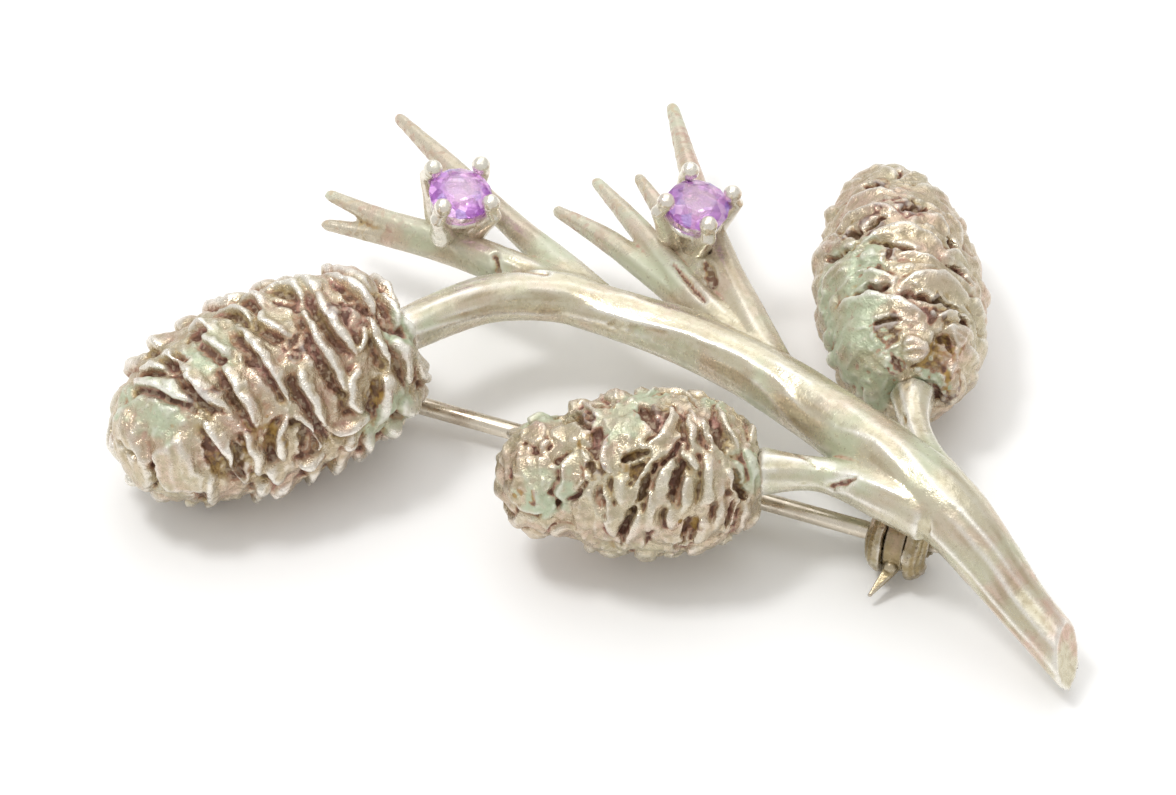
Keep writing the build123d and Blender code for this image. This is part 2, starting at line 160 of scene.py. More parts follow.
NEEDLES = [
    route(
        (0.010, 0.095, 1.03, 0.58), (-0.037, 0.169, 1.05, 0.50), (-0.094, 0.264, 1.03, 0.40),
        (-0.156, 0.378, 0.97, 0.34), (-0.206, 0.473, 0.91, 0.20),
    ),
    route(
        (-0.017, 0.108, 1.05, 0.58), (-0.082, 0.160, 1.05, 0.52), (-0.156, 0.222, 1.00, 0.40),
        (-0.219, 0.267, 0.95, 0.32), (-0.279, 0.320, 0.91, 0.19),
    ),
    route(
        (-0.050, 0.130, 1.00, 0.50), (-0.146, 0.207, 0.90, 0.38), (-0.219, 0.254, 0.82, 0.32),
        (-0.282, 0.284, 0.76, 0.19),
    ),
    route(
        (0.202, -0.060, 1.00, 0.66), (0.167, 0.051, 1.05, 0.65), (0.139, 0.164, 1.06, 0.54),
        (0.109, 0.344, 1.02, 0.37), (0.090, 0.493, 0.92, 0.21),
    ),
    route(
        (0.130, 0.120, 1.02, 0.44), (0.088, 0.249, 0.98, 0.34), (0.053, 0.349, 0.94, 0.19),
    ),
    route(
        (0.160, 0.027, 1.03, 0.55), (0.104, 0.118, 1.03, 0.48), (0.054, 0.240, 0.98, 0.36),
        (0.008, 0.344, 0.92, 0.19),
    ),
    route(
        (0.150, 0.026, 0.94, 0.50), (0.092, 0.122, 0.94, 0.42), (0.024, 0.222, 0.93, 0.36),
        (-0.034, 0.291, 0.89, 0.19),
    ),
]

SettingPlace = namedtuple("SettingPlace", "name x y z claw_turn")
SETTINGS = [
    SettingPlace("left", -0.145, 0.240, 1.03, 57.0),
    SettingPlace("right", 0.106, 0.219, 1.02, 15.0),
]

# Outline of a cone from its base to its tip: reach along it and girth, as shares
LEFT_OUTLINE = [
    (-0.01, 0.30), (0.00, 0.60), (0.12, 0.86), (0.30, 0.98), (0.52, 1.00), (0.74, 0.91), (0.90, 0.72),
    (0.99, 0.46), (1.02, 0.20), (1.02, 0.00),
]
MIDDLE_OUTLINE = [
    (-0.01, 0.25), (0.01, 0.56), (0.14, 0.86), (0.32, 1.00), (0.56, 0.99), (0.70, 0.86), (0.76, 0.74),
    (0.86, 0.76), (0.97, 0.56), (1.02, 0.26), (1.03, 0.00),
]
RIGHT_OUTLINE = [
    (-0.01, 0.25), (0.00, 0.52), (0.12, 0.82), (0.34, 1.00), (0.56, 1.00), (0.76, 0.86), (0.92, 0.64),
    (1.00, 0.38), (1.02, 0.18), (1.02, 0.00),
]

Cone = namedtuple("Cone", "name foot length width heading tilt rows cell outline style seed")
# How a cone is cut: a lip's length and width, the recess between lips and its floor, the hollow dug in
# front of a lip and its reach, how far a lip leans towards the tip, its slant off its ring and how much
# of it is a plate, the height of creases, how slits are stretched and how deep they are, how dark the
# recess is painted, with tarnish and painted shade, and how bright the crests are painted, with
# polished silver and a painted highlight. The dug hollow's depth also sets how much painted shadow lies
# in front of a lip.
Style = namedtuple("Style", "lip_length lip_width recess floor dig dig_reach lean slant plate crease "
                            "slit_stretch slit_share stain wear")
NARROW_LIPS = Style(4.9, 1.00, 0.80, 0.54, 0.32, 0.90, 0.22, -10, 0.25, 0.05, 1.10, 0.95, 0.31, 1.0)
BROAD_LIPS = Style(3.8, 1.00, 0.50, 0.22, 0.30, 0.60, 0.20, 8, 0.5, 0.065, 1.18, 0.85, 0.36, 0.55)
SHINGLED_LIPS = Style(4.6, 0.95, 0.48, 0.24, 0.16, 0.45, 0.24, 4, 0.6, 0.075, 1.12, 0.95, 0.48, 0.85)
CONES = [
    Cone("left_cone", MAIN_STEM[-1], 18.8, 12.8, 205.0, -7.3, 13, 0.128, LEFT_OUTLINE, NARROW_LIPS, 11),
    Cone("middle_cone", MIDDLE_TWIG[-1], 15.4, 10.2, 180.7, -0.7, 11, 0.105, MIDDLE_OUTLINE, BROAD_LIPS, 23),
    Cone("right_cone", RIGHT_TWIG[-1], 18.1, 10.6, 93.6, -0.9, 12, 0.110, RIGHT_OUTLINE, SHINGLED_LIPS, 37),
]

# A lip's section: its fullness, its width at the ends, how far it falls away behind, and the reach of
# its plate
LIP_FULLNESS = 1.12
LIP_END_WIDTH = 0.40
BACK_SHARE = 1.35
PLATE_REACH = 1.3
# How deep under a cone's outline its marks are taken to lie
MARK_SINK = 0.1
# Sizes of the crumbs, lumps, grit and sway that roughen a cone's skin
SKIN_NOISES = (0.52, 1.3, 0.27, 0.95)
# Rows of lips that fill up a cone: where they start, what both ends leave free, and the spacing of lips
FIRST_ROW = 0.9
ENDS_LEFT = 1.1
LIP_SPACING = 0.8
# Creases: their length round a cone and their width along it
CREASE_LENGTH = 1.5
CREASE_WIDTH = 0.48

# A cone's own lips, slits and domes, marked in the photo's pixels. A lip is a raised crest and a
# slit is cut in: across and down the photo for one end, the other end and the middle, then the width,
# and last how much of a lip is a plate, or a slit's depth in millimetres. A dome is a boss or a plate
# with a raised rim: its middle, its half lengths along the cone and round it, and the heights of its
# top and its rim in millimetres.
LIP_MARKS = {
    "left_cone": [
        (228, 358, 266, 428, 249, 388, 14, 0.15), (240, 322, 302, 406, 271, 352, 12, 0.15),
        (262, 306, 296, 336, 278, 325, 10, 0.2), (303, 306, 355, 398, 330, 346, 12, 0.15),
        (318, 288, 362, 356, 342, 322, 13, 0.15), (369, 310, 398, 372, 385, 336, 11, 0.15),
        (322, 271, 383, 316, 358, 284, 15, 0.3), (384, 290, 404, 330, 396, 305, 11, 0.3),
        (399, 336, 416, 384, 411, 354, 18, 0.8), (364, 364, 368, 419, 360, 392, 15, 0.6),
        (394, 374, 384, 428, 392, 402, 17, 0.8), (303, 368, 334, 430, 318, 392, 13, 0.15),
        (298, 417, 325, 456, 319, 428, 8, 0.1), (296, 416, 290, 466, 287, 440, 11, 0.3),
        (207, 419, 251, 488, 234, 444, 17, 0.3), (253, 430, 266, 480, 262, 455, 12, 0.2),
        (165, 374, 190, 394, 178, 382, 8, 0.3), (183, 358, 234, 410, 206, 386, 15, 0.3),
        (205, 334, 236, 354, 221, 342, 12, 0.5), (186, 330, 224, 334, 205, 323, 13, 0.7),
        (212, 310, 256, 320, 232, 304, 9, 0.3), (238, 297, 266, 305, 252, 292, 11, 0.6),
        (131, 383, 200, 404, 165, 383, 12, 0.4), (217, 474, 217, 506, 217, 490, 12, 0.3),
        (335, 435, 376, 420, 357, 430, 11, 0.3), (262, 288, 308, 299, 285, 281, 14, 0.5),
        (296, 275, 322, 292, 312, 280, 14, 0.8), (368, 322, 366, 352, 370, 338, 8, 0.2),
        (270, 468, 284, 487, 279, 476, 13, 0.7), (300, 470, 330, 455, 316, 466, 13, 0.8),
        (345, 447, 366, 443, 356, 447, 9, 0.8), (160, 352, 200, 362, 180, 353, 10, 0.6),
        (140, 366, 172, 366, 156, 362, 10, 0.6),
    ],
    "middle_cone": [
        (509, 492, 545, 510, 524, 507, 8, 0.5), (583, 398, 601, 420, 594, 407, 10, 0.3),
        (613, 428, 611, 476, 605, 450, 12, 0.2), (606, 482, 618, 538, 608, 512, 15, 0.7),
        (577, 446, 563, 502, 565, 472, 15, 0.4), (640, 395, 700, 403, 668, 388, 12, 0.5),
        (672, 400, 648, 442, 668, 425, 12, 0.15), (654, 456, 630, 489, 642, 474, 7, 0.1),
        (674, 454, 656, 504, 667, 478, 17, 0.4), (687, 472, 677, 516, 685, 496, 12, 0.2),
        (678, 444, 698, 474, 690, 455, 10, 0.2), (690, 406, 714, 444, 702, 424, 12, 0.2),
        (706, 448, 702, 508, 712, 476, 21, 0.6), (723, 456, 713, 506, 722, 482, 8, 0.2),
        (722, 402, 744, 458, 728, 436, 9, 0.1), (742, 446, 751, 482, 751, 460, 14, 0.8),
        (726, 463, 736, 492, 732, 478, 12, 0.3), (724, 494, 713, 532, 719, 512, 13, 0.3),
        (747, 499, 734, 538, 743, 518, 13, 0.7), (652, 486, 646, 532, 652, 506, 13, 0.3),
        (642, 508, 630, 544, 636, 526, 14, 0.5), (668, 505, 672, 528, 671, 516, 13, 0.6),
        (703, 514, 697, 542, 702, 528, 15, 0.7), (684, 410, 690, 446, 690, 428, 10, 0.5),
        (618, 470, 624, 505, 621, 488, 14, 0.6),
    ],
    "right_cone": [
        (852, 178, 906, 170, 876, 164, 14, 0.8), (847, 204, 905, 193, 878, 187, 10, 0.6),
        (908, 173, 941, 188, 925, 169, 14, 0.9), (843, 218, 906, 214, 876, 206, 10, 0.4),
        (866, 238, 948, 248, 898, 226, 14, 0.2), (930, 213, 958, 233, 947, 218, 10, 0.5),
        (952, 206, 969, 244, 964, 222, 12, 0.7), (828, 238, 859, 237, 844, 233, 7, 0.2),
        (898, 252, 948, 262, 924, 253, 7, 0.2), (946, 250, 977, 264, 962, 252, 8, 0.3),
        (848, 284, 896, 277, 872, 273, 12, 0.8), (897, 292, 974, 302, 935, 277, 19, 0.1),
        (834, 312, 931, 321, 885, 300, 14, 0.6), (934, 321, 977, 329, 955, 316, 9, 0.6),
        (945, 349, 975, 345, 958, 331, 15, 0.8), (911, 374, 945, 381, 928, 373, 11, 0.9),
        (826, 300, 846, 262, 829, 280, 14, 0.8), (965, 350, 978, 372, 975, 360, 12, 0.6),
    ],
}
SLIT_MARKS = {
    "left_cone": [
        (126, 439, 142, 459, 134, 449, 6, 0.6), (156, 455, 157, 494, 157, 476, 9, 0.9),
        (147, 391, 200, 411, 172, 395, 6, 1.0), (200, 492, 206, 510, 203, 500, 16, 1.0),
        (208, 440, 228, 480, 216, 462, 12, 1.0), (243, 442, 251, 484, 248, 462, 10, 1.0),
        (228, 372, 246, 408, 236, 392, 12, 0.95), (310, 424, 307, 464, 309, 444, 12, 1.05),
        (298, 372, 311, 412, 303, 392, 8, 0.95), (324, 360, 352, 402, 336, 382, 9, 0.95),
        (340, 299, 381, 313, 360, 303, 7, 1.0), (383, 304, 402, 333, 390, 322, 10, 1.1),
        (378, 386, 375, 419, 378, 402, 6, 0.95), (394, 344, 402, 374, 397, 360, 5, 0.9),
        (274, 297, 306, 308, 290, 299, 9, 0.95), (217, 409, 232, 418, 224, 412, 5, 0.9),
        (274, 440, 281, 466, 276, 452, 10, 0.95), (174, 346, 194, 356, 184, 350, 6, 0.9),
        (316, 412, 334, 448, 324, 428, 8, 0.95), (228, 354, 230, 358, 229, 356, 7, 0.95),
        (186, 374, 196, 372, 190, 372, 5, 0.7), (244, 354, 264, 366, 254, 359, 7, 0.95),
    ],
    "middle_cone": [
        (558, 462, 559, 508, 558, 486, 5, 1.0), (590, 479, 572, 499, 581, 490, 6, 1.0),
        (601, 478, 608, 516, 604, 497, 5, 1.0), (562, 407, 590, 426, 575, 415, 10, 1.2),
        (598, 402, 617, 402, 607, 402, 12, 1.1), (640, 403, 654, 424, 648, 412, 18, 1.0),
        (596, 426, 594, 456, 594, 441, 18, 0.95), (622, 456, 648, 448, 634, 450, 10, 1.15),
        (628, 472, 642, 462, 634, 468, 20, 0.85), (679, 430, 660, 461, 671, 446, 6, 1.1),
        (656, 463, 638, 502, 648, 482, 6, 1.1), (682, 460, 669, 501, 677, 480, 7, 1.15),
        (666, 397, 684, 415, 675, 405, 4, 0.7), (712, 416, 724, 450, 718, 432, 13, 1.1),
        (734, 471, 746, 498, 740, 486, 12, 1.2), (734, 498, 724, 533, 730, 515, 8, 1.15),
        (690, 518, 683, 535, 687, 526, 12, 0.95), (684, 536, 676, 549, 680, 543, 6, 1.0),
        (635, 509, 622, 544, 628, 526, 7, 1.1), (651, 529, 648, 545, 649, 537, 6, 0.8),
        (592, 460, 590, 474, 590, 467, 10, 0.8), (524, 437, 546, 452, 534, 446, 6, 0.8),
        (508, 468, 511, 482, 509, 475, 8, 0.8), (549, 428, 552, 446, 551, 437, 5, 0.6),
    ],
    "right_cone": [
        (870, 178, 893, 180, 882, 178, 9, 1.0), (846, 197, 872, 184, 860, 191, 3.5, 0.6),
        (903, 205, 932, 201, 918, 203, 15, 0.85), (869, 226, 889, 214, 878, 219, 9, 1.2),
        (842, 232, 866, 225, 854, 229, 11, 1.0), (848, 209, 882, 200, 865, 205, 4, 0.7),
        (872, 238, 920, 247, 898, 241, 6, 1.0), (828, 259, 858, 241, 845, 248, 8, 1.2),
        (886, 260, 893, 244, 889, 252, 7, 0.6), (957, 233, 967, 251, 962, 242, 11, 1.3),
        (953, 262, 977, 281, 967, 271, 9, 1.2), (847, 283, 883, 262, 864, 273, 4, 0.7),
        (903, 295, 963, 307, 930, 297, 7, 1.15), (850, 299, 889, 286, 868, 291, 9, 1.2),
        (869, 323, 902, 320, 888, 318, 6, 1.1), (957, 317, 976, 327, 968, 321, 6, 1.0),
        (938, 340, 954, 352, 948, 344, 9, 1.1), (912, 368, 944, 377, 930, 370, 5, 1.0),
        (907, 170, 908, 163, 908, 166, 5, 0.8), (888, 352, 902, 372, 894, 362, 6, 0.6),
    ],
}
DOME_MARKS = {
    "left_cone": [
        (131, 456, 31, 42, 0.05, 0.07), (183, 474, 29, 42, 0.08, 0.07), (355, 441, 7, 7, 0.10, 0),
    ],
    "middle_cone": [
        (528, 495, 16, 17, 0, 0.1), (523, 466, 16, 15, 0.02, 0.1), (534, 430, 15, 14, 0.02, 0.1),
        (569, 434, 18, 14, 0.12, 0.08), (575, 399, 15, 10, 0.35, 0), (624, 426, 13, 17, -0.05, 0),
        (585, 518, 26, 20, -0.02, 0), (671, 538, 9, 9, 0.06, 0), (547, 468, 11, 18, -0.12, 0),
    ],
    "right_cone": [
        (941, 358, 26, 19, -0.55, 0), (870, 253, 12, 9, 0.08, 0), (917, 349, 15, 14, 0.30, 0),
        (956, 394, 18, 18, 0.08, 0), (846, 345, 22, 36, -0.02, 0), (842, 272, 18, 12, -0.02, 0),
        (960, 338, 13, 10, 0.08, 0.08),
    ],
}

# The same on the cone itself: millimetres along its skin from the base, degrees about its axis, and
# half lengths in millimetres. Lips and slits slant off their ring and bow towards the tip.
Lip = namedtuple("Lip", "along turn half_length slant bow width plate")
Slit = namedtuple("Slit", "along turn half_length slant bow width depth")
Dome = namedtuple("Dome", "along turn half_along half_round top rim")
OwnForms = namedtuple("OwnForms", "lips slits domes")
Net = namedtuple("Net", "even radius along turn across down")
SHORTEST_HALF = 0.25

# Where tarnish has settled on a cone: along its skin in millimetres, about it in degrees, and reach
TARNISH = {
    "left_cone": {
        "mint": [(19.5, 106, 2.3), (14.6, 90, 1.9), (5.8, 186, 2.2), (2.7, 129, 1.4),
                 (21.4, 70, 1.4)],
        "ochre": [(14.0, 156, 1.5), (16.7, 168, 1.2), (6.0, 160, 0.9)],
        "brown": [(16.7, 119, 1.2), (10.1, 115, 1.1), (6.3, 102, 1.1)],
    },
    "middle_cone": {
        "mint": [(10.5, 90, 1.7), (15.5, 150, 1.9), (15.7, 48, 1.4), (4.7, 62, 1.0), (8.9, 61, 1.4),
                 (2.1, 130, 1.4)],
        "ochre": [(12.3, 104, 0.9), (9.9, 127, 0.9), (6.3, 174, 0.7), (16.9, 150, 0.8)],
        "brown": [(12.4, 132, 0.7), (8.6, 86, 0.9), (4.3, 105, 0.7), (11.3, 69, 0.6), (12.7, 78, 0.7)],
    },
    "right_cone": {
        "mint": [(8.8, 140, 3.0), (3.4, 148, 3.0), (1.8, 165, 2.2), (6.0, 152, 3.2), (7.2, 122, 1.6),
                 (0.5, 54, 1.3), (9.8, 114, 1.3)],
        "ochre": [(2.5, 56, 1.3), (1.3, 25, 0.9), (1.3, 74, 0.9)],
        "brown": [(17.1, 104, 0.8), (13.7, 83, 1.1), (12.5, 125, 0.9), (12.2, 106, 0.7),
                  (5.2, 66, 1.1), (4.0, 110, 1.1), (9.5, 101, 0.6), (0.9, 4, 1.0), (1.2, 122, 0.6),
                  (13.7, 102, 0.7)],
    },
}

# Height of the crest lines along the stem
CREST_HEIGHT = 0.13
# Dark slits and pits cut in the limbs: both ends as shares of the spray's length and width, the
# half width in millimetres, and the depth
Pit = namedtuple("Pit", "x y end_x end_y half_width depth")
PITS = [
    Pit(-0.089, 0.127, -0.046, 0.116, 0.32, 0.35),
    Pit(0.089, 0.153, 0.121, 0.077, 0.30, 0.40),
    Pit(0.122, 0.156, 0.131, 0.111, 0.42, 0.28),
    Pit(-0.095, 0.231, -0.087, 0.186, 0.35, 0.35),
    Pit(-0.101, 0.164, -0.094, 0.131, 0.25, 0.30),
    Pit(0.115, 0.196, 0.127, 0.171, 0.30, 0.25),
    Pit(0.214, -0.245, 0.271, -0.256, 0.22, 0.28),
    Pit(0.021, 0.044, 0.081, 0.014, 0.16, 0.08),
    Pit(0.214, -0.202, 0.232, -0.228, 0.22, 0.14),
    Pit(0.326, -0.108, 0.329, -0.130, 0.20, 0.18),
]

# Claws and their balls, and the stone's own shares
ClawStep = namedtuple("ClawStep", "out height thick")
CLAW_BALL = 0.60
CLAW_HOLD = 0.90
TABLE_SHARE = 0.54
CROWN_HEIGHT = 0.62
GIRDLE_HEIGHT = 0.12
STONE_GAP = 0.05
CLAW_NECK = 0.50
CLAW_FOOT = [ClawStep(0.80, -0.5, 0.95), ClawStep(1.25, 0.6, 0.92), ClawStep(1.80, 1.9, 0.74)]
CLAW_SIDES = 14

# The cup under a stone, from rows of radius and height, and the ring of wire round it
COLLET_PROFILE = [
    (1.05, -0.5), (1.12, 0.3), (1.30, 1.3), (1.40, 1.75), (1.15, 1.80), (0.85, 1.50), (0.10, 1.35),
]
GALLERY_RADIUS = 1.62
GALLERY_HEIGHT = 2.20
GALLERY_WIRE = 0.20

# Unevenness of worn settings and findings: height, size of a patch, seed
SETTING_WEAR = [(0.03, 0.7, 41), (0.008, 0.25, 42)]
FINDING_WEAR = [(0.06, 0.8, 51), (0.015, 0.25, 52)]

# A cheek's outer face, rounded off in steps: share of its radius and reach along the pin
CHEEK_STEPS = ((1.0, 0.55), (0.92, 0.85), (0.78, 1.10), (0.60, 1.25))

# The rotor's collar, its lever from rows of reach, shift, width and thickness, and its ball
COLLAR_WIDTH = 1.84
DRUM_BEVEL = 0.04
LEVER_TURN = 203.0
LEVER_STEPS = [
    (1.48, 0.0, 0.90, 0.50), (1.90, 0.0, 0.88, 0.50), (2.45, -0.18, 0.70, 0.46),
    (3.10, -0.42, 0.52, 0.36), (3.60, -0.60, 0.34, 0.26), (4.05, -0.76, 0.24, 0.20),
]
LEVER_BALL = (2.02, 192.0, 0.44)

# Colours of the finishes
CHAMPAGNE = (0.60, 0.50, 0.36, 1)
CREAM = (0.64, 0.59, 0.44, 1)
TAN = (0.57, 0.50, 0.37, 1)
WHITE_METAL = (0.86, 0.82, 0.73, 1)
DULL_METAL = (0.33, 0.25, 0.125, 1)
BLUSH = (0.64, 0.45, 0.36, 1)
MINT = (0.49, 0.55, 0.39, 1)
OLIVE = (0.38, 0.31, 0.18, 1)
# Hollow colours: brown tarnish that also stands in for painted shade, and near-black that is partly
# blackening and partly painted shade in the deepest crevices, and that also colours small dark flecks
RECESS = (0.37, 0.20, 0.12, 1)
MAUVE = (0.41, 0.21, 0.165, 1)
DRAB = (0.43, 0.32, 0.155, 1)
DEEP_SHADE_AND_FLECKS = (0.10, 0.045, 0.027, 1)
OCHRE = (0.40, 0.25, 0.07, 1)
# Near-white for crests and ridges: polished silver and a painted highlight
BRIGHT = (0.96, 0.93, 0.87, 1)

# Stones: the strength of their painted glow, a pale painted reflection of the light in the heart, and painted
# facet reflections, each tint up to its limit of a facet's own chance
STONE_PAINTED_GLOW = {"left": 0.38, "right": 0.24}
STONE_TABLE_REFLECTION = (0.93, 0.80, 0.94, 1)
STONE_FACET_REFLECTIONS = [(0.22, 0.33, 0.09, 0.44, 1), (0.44, 0.58, 0.25, 0.68, 1), (0.66, 0.84, 0.46, 0.84, 1),
               (0.78, 0.52, 0.42, 0.86, 1), (1.00, 0.95, 0.74, 0.94, 1)]


def at(station):
    """The point that a row of a route, or a setting's place, stands for, in millimetres."""
    level = Vector((station.x * SPRAY_LENGTH, station.y * SPRAY_WIDTH, station.z * STEM_HEIGHT))
    return level + SPRAY_OFFSET


def direction(heading, tilt):
    """Unit vector from a heading in the floor plane and a tilt above it, in degrees."""
    level = cos(radians(tilt))
    return Vector((cos(radians(heading)) * level, sin(radians(heading)) * level, sin(radians(tilt))))


# Number work on whole meshes

def lattice(cells, seed):
    """A steady pseudo-random value from -1 to 1 for each whole cell."""
    mixed = cells[:, 0] * 374761393 + cells[:, 1] * 668265263 + cells[:, 2] * 1442695041 + seed * 974634777
    mixed = (mixed ^ (mixed >> 13)) * 1274126177
    mixed = mixed ^ (mixed >> 16)
    return (mixed & 0xFFFFFF) / float(0x7FFFFF) - 1.0


def clouds(points, size, seed):
    """Smooth noise over points, with features of about the given size."""
    scaled = points / size
    low = np.floor(scaled).astype(np.int64)
    part = scaled - low
    part = part * part * (3 - 2 * part)
    total = np.zeros(len(points))
    for corner in range(8):
        step = np.array([corner & 1, corner >> 1 & 1, corner >> 2 & 1])
        weight = np.prod(np.where(step == 1, part, 1 - part), axis=1)
        total += weight * lattice(low + step, seed)
    return total


def smoothstep(low, high, value):
    """Nothing below low, one above high, and eased between."""
    share = np.clip((value - low) / (high - low), 0, 1)
    return share * share * (3 - 2 * share)


def corner_normals(verts, quads):
    """Normal at each vertex."""
    a, b, c, d = (verts[quads[:, k]] for k in range(4))
    flat = np.cross(c - a, d - b)
    total = np.zeros_like(verts)
    for k in range(4):
        for axis in range(3):
            total[:, axis] += np.bincount(quads[:, k], flat[:, axis], len(verts))
    return total / np.maximum(np.linalg.norm(total, axis=1, keepdims=True), 1e-12)


def edge_ends(quads):
    """Both ends of each edge, each way round."""
    pairs = np.vstack([quads[:, [k, (k + 1) % 4]] for k in range(4)])
    pairs = np.unique(np.sort(pairs, axis=1), axis=0)
    return np.vstack([pairs, pairs[:, ::-1]])


def relaxed(verts, ends, passes, share=0.5):
    """Vertices drawn towards the middle of their neighbours."""
    count = np.bincount(ends[:, 0], minlength=len(verts))[:, None]
    count = np.maximum(count, 1)
    for _ in range(passes):
        near = verts[ends[:, 1]]
        mean = np.stack([np.bincount(ends[:, 0], near[:, axis], len(verts)) for axis in range(3)], axis=1)
        verts = verts + share * (mean / count - verts)
    return verts


def fused(shells, cell):
    """Overlapping closed shells fused into one skin of quads, in millimetres."""
    verts, faces = [], []
    for shell_verts, shell_faces in shells:
        start = len(verts)
        verts += [tuple(v) for v in shell_verts]
        faces += [[start + i for i in face] for face in shell_faces]
    mesh = bpy.data.meshes.new("fused")
    mesh.from_pydata(verts, [], faces)
    mesh.update()
    holder = bpy.data.objects.new("fused", mesh)
    bpy.context.scene.collection.objects.link(holder)
    remesh = holder.modifiers.new("one skin", "REMESH")
    remesh.mode = "VOXEL"
    remesh.voxel_size = cell
    graph = bpy.context.evaluated_depsgraph_get()
    skin = bpy.data.meshes.new_from_object(holder.evaluated_get(graph))
    points = np.zeros(len(skin.vertices) * 3)
    skin.vertices.foreach_get("co", points)
    corners = np.zeros(len(skin.loops), np.int64)
    skin.loops.foreach_get("vertex_index", corners)
    bpy.data.objects.remove(holder)
    bpy.data.meshes.remove(mesh)
    bpy.data.meshes.remove(skin)
    return points.reshape(-1, 3), corners.reshape(-1, 4)


def relief(verts, quads, ends):
    """How hollow and how raised the skin is at each vertex, from 0 to 1."""
    normals = corner_normals(verts, quads)
    near = np.sum((relaxed(verts, ends, 4) - verts) * normals, axis=1)
    wide = np.sum((relaxed(verts, ends, 30) - verts) * normals, axis=1)
    hollow = smoothstep(0.0, 0.17, wide * 1.2 + near * 0.5)
    ridge = smoothstep(0.005, 0.10, -(near * 1.5 + wide * 0.6))
    return hollow, ridge


def piece(name, verts, faces, body, material, masks=None, smooth=True):
    """A mesh object from millimetre vertices, riding on its body, with its masks as attributes."""
    mesh = bpy.data.meshes.new(name)
    mesh.from_pydata((np.array(verts) * MM).tolist(), [], [list(face) for face in faces])
    mesh.update()
    for mask, values in (masks or {}).items():
        layer = mesh.attributes.new(mask, "FLOAT", "POINT")
        layer.data.foreach_set("value", np.array(values, np.float32))
    mesh.polygons.foreach_set("use_smooth", [smooth] * len(mesh.polygons))
    mesh.materials.append(material)
    made = bpy.data.objects.new(name, mesh)
    bpy.context.scene.collection.objects.link(made)
    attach(made, body)
    return made


# Shells that are later fused

def loop_shell(loops):
    """A closed shell through rings of equally many points, capped at both ends."""
    count = len(loops[0])
    verts = [point for loop in loops for point in loop]
    faces = [list(range(count))[::-1]]
    for row in range(len(loops) - 1):
        for k in range(count):
            beside = (k + 1) % count
            low, high = row * count, (row + 1) * count
            faces.append([low + k, low + beside, high + beside, high + k])
    faces.append([(len(loops) - 1) * count + k for k in range(count)])
    return verts, faces


def smoothed(knots, parts):
    """Points on a smooth curve through knots, with each span cut in equal parts."""
    points = []
    for i in range(len(knots) - 1):
        before, low = knots[max(i - 1, 0)], knots[i]
        high, after = knots[i + 1], knots[min(i + 2, len(knots) - 1)]
        for k in range(parts):
            s = k / parts
            points.append(0.5 * (2 * low + (high - before) * s
                                 + (2 * before - 5 * low + 4 * high - after) * s ** 2
                                 + (3 * low - before - 3 * high + after) * s ** 3))
    points.append(knots[-1])
    return np.array(points)


def lengths_along(points):
    """How far along a line each of its points lies."""
    return np.r_[0, np.cumsum(np.linalg.norm(np.diff(points, axis=0), axis=1))]


def envelope(cone, samples=160):
    """The cone's smooth outline: arc length, reach along the axis, radius, and the outward normal."""
    knots = np.array([[reach * cone.length, girth * cone.width / 2] for reach, girth in cone.outline])
    points = smoothed(knots, 12)
    points[:, 1] = np.maximum(points[:, 1], 0.0)
    steps = lengths_along(points)
    even = np.linspace(0, steps[-1], samples)
    reach = np.interp(even, steps, points[:, 0])
    radius = np.interp(even, steps, points[:, 1])
    slope = np.stack([np.gradient(reach, even), np.gradient(radius, even)], axis=1)
    slope /= np.linalg.norm(slope, axis=1, keepdims=True)
    return even, reach, radius, -slope[:, 1], slope[:, 0]


def cone_axes(cone):
    """Axis, side and up of a cone, with its base."""
    axis = direction(cone.heading, cone.tilt)
    side = axis.cross(Vector((0, 0, 1))).normalized()
    return at(cone.foot), axis, side, side.cross(axis)


def on_cone(cone, shape, along, turn, lift):
    """Points at arc lengths, angles about the axis and lifts off the outline."""
    even, reach, radius, out_reach, out_radius = shape
    along = np.clip(along, 0.0, even[-1])
    step = np.interp(along, even, reach) + lift * np.interp(along, even, out_reach)
    out = np.maximum(np.interp(along, even, radius) + lift * np.interp(along, even, out_radius), 0.02)
    base, axis, side, up = (np.array(v) for v in cone_axes(cone))
    round_turn = np.cos(turn)[..., None] * side + np.sin(turn)[..., None] * up
    return base + step[..., None] * axis + out[..., None] * round_turn


def wrapped(angle):
    """An angle brought to within half a turn of nothing."""
    return (angle + pi) % tau - pi


def neat(value, digits=1):
    """A measure rounded as finely as a mark can be read."""
    return round(float(value), digits)


def mark_net(cone):
    """A fine net over a cone's skin, and where the photo shows each of its knots."""
    even, reach, radius, out_reach, out_radius = envelope(cone, 400)
    base, axis, side, up = (np.array(v) for v in cone_axes(cone))
    row, turn = np.meshgrid(np.arange(len(even)), np.radians(np.arange(0, 360, 0.5)), indexing="ij")
    round_turn = np.cos(turn)[..., None] * side + np.sin(turn)[..., None] * up
    step, out = (reach - MARK_SINK * out_reach)[row], (radius - MARK_SINK * out_radius)[row]
    x, y, z = np.moveaxis(base + step[..., None] * axis + out[..., None] * round_turn, -1, 0)
    face = out_reach[row][..., None] * axis + out_radius[row][..., None] * round_turn
    rise = radians(CAMERA_RISE)
    shown = face @ np.array([0, -cos(rise), sin(rise)]) >= 0
    across = PHOTO_ORIGIN[0] + PIXELS_PER_MM * x
    down = PHOTO_ORIGIN[1] - (PIXELS_PER_MM_BACK * y + PIXELS_PER_MM_UP * z)
    return Net(even, radius, even[row], np.degrees(turn), across, np.where(shown, down, np.inf))


def place_of(net, across, down):
    """Arc length and degrees on a cone at a pixel of the photo."""
    nearest = np.argmin((net.across - across) ** 2 + (net.down - down) ** 2)
    return net.along.flat[nearest], net.turn.flat[nearest]


def half_turned(angle):
    """Degrees brought to within half a turn of nothing."""
    return (angle + 180) % 360 - 180


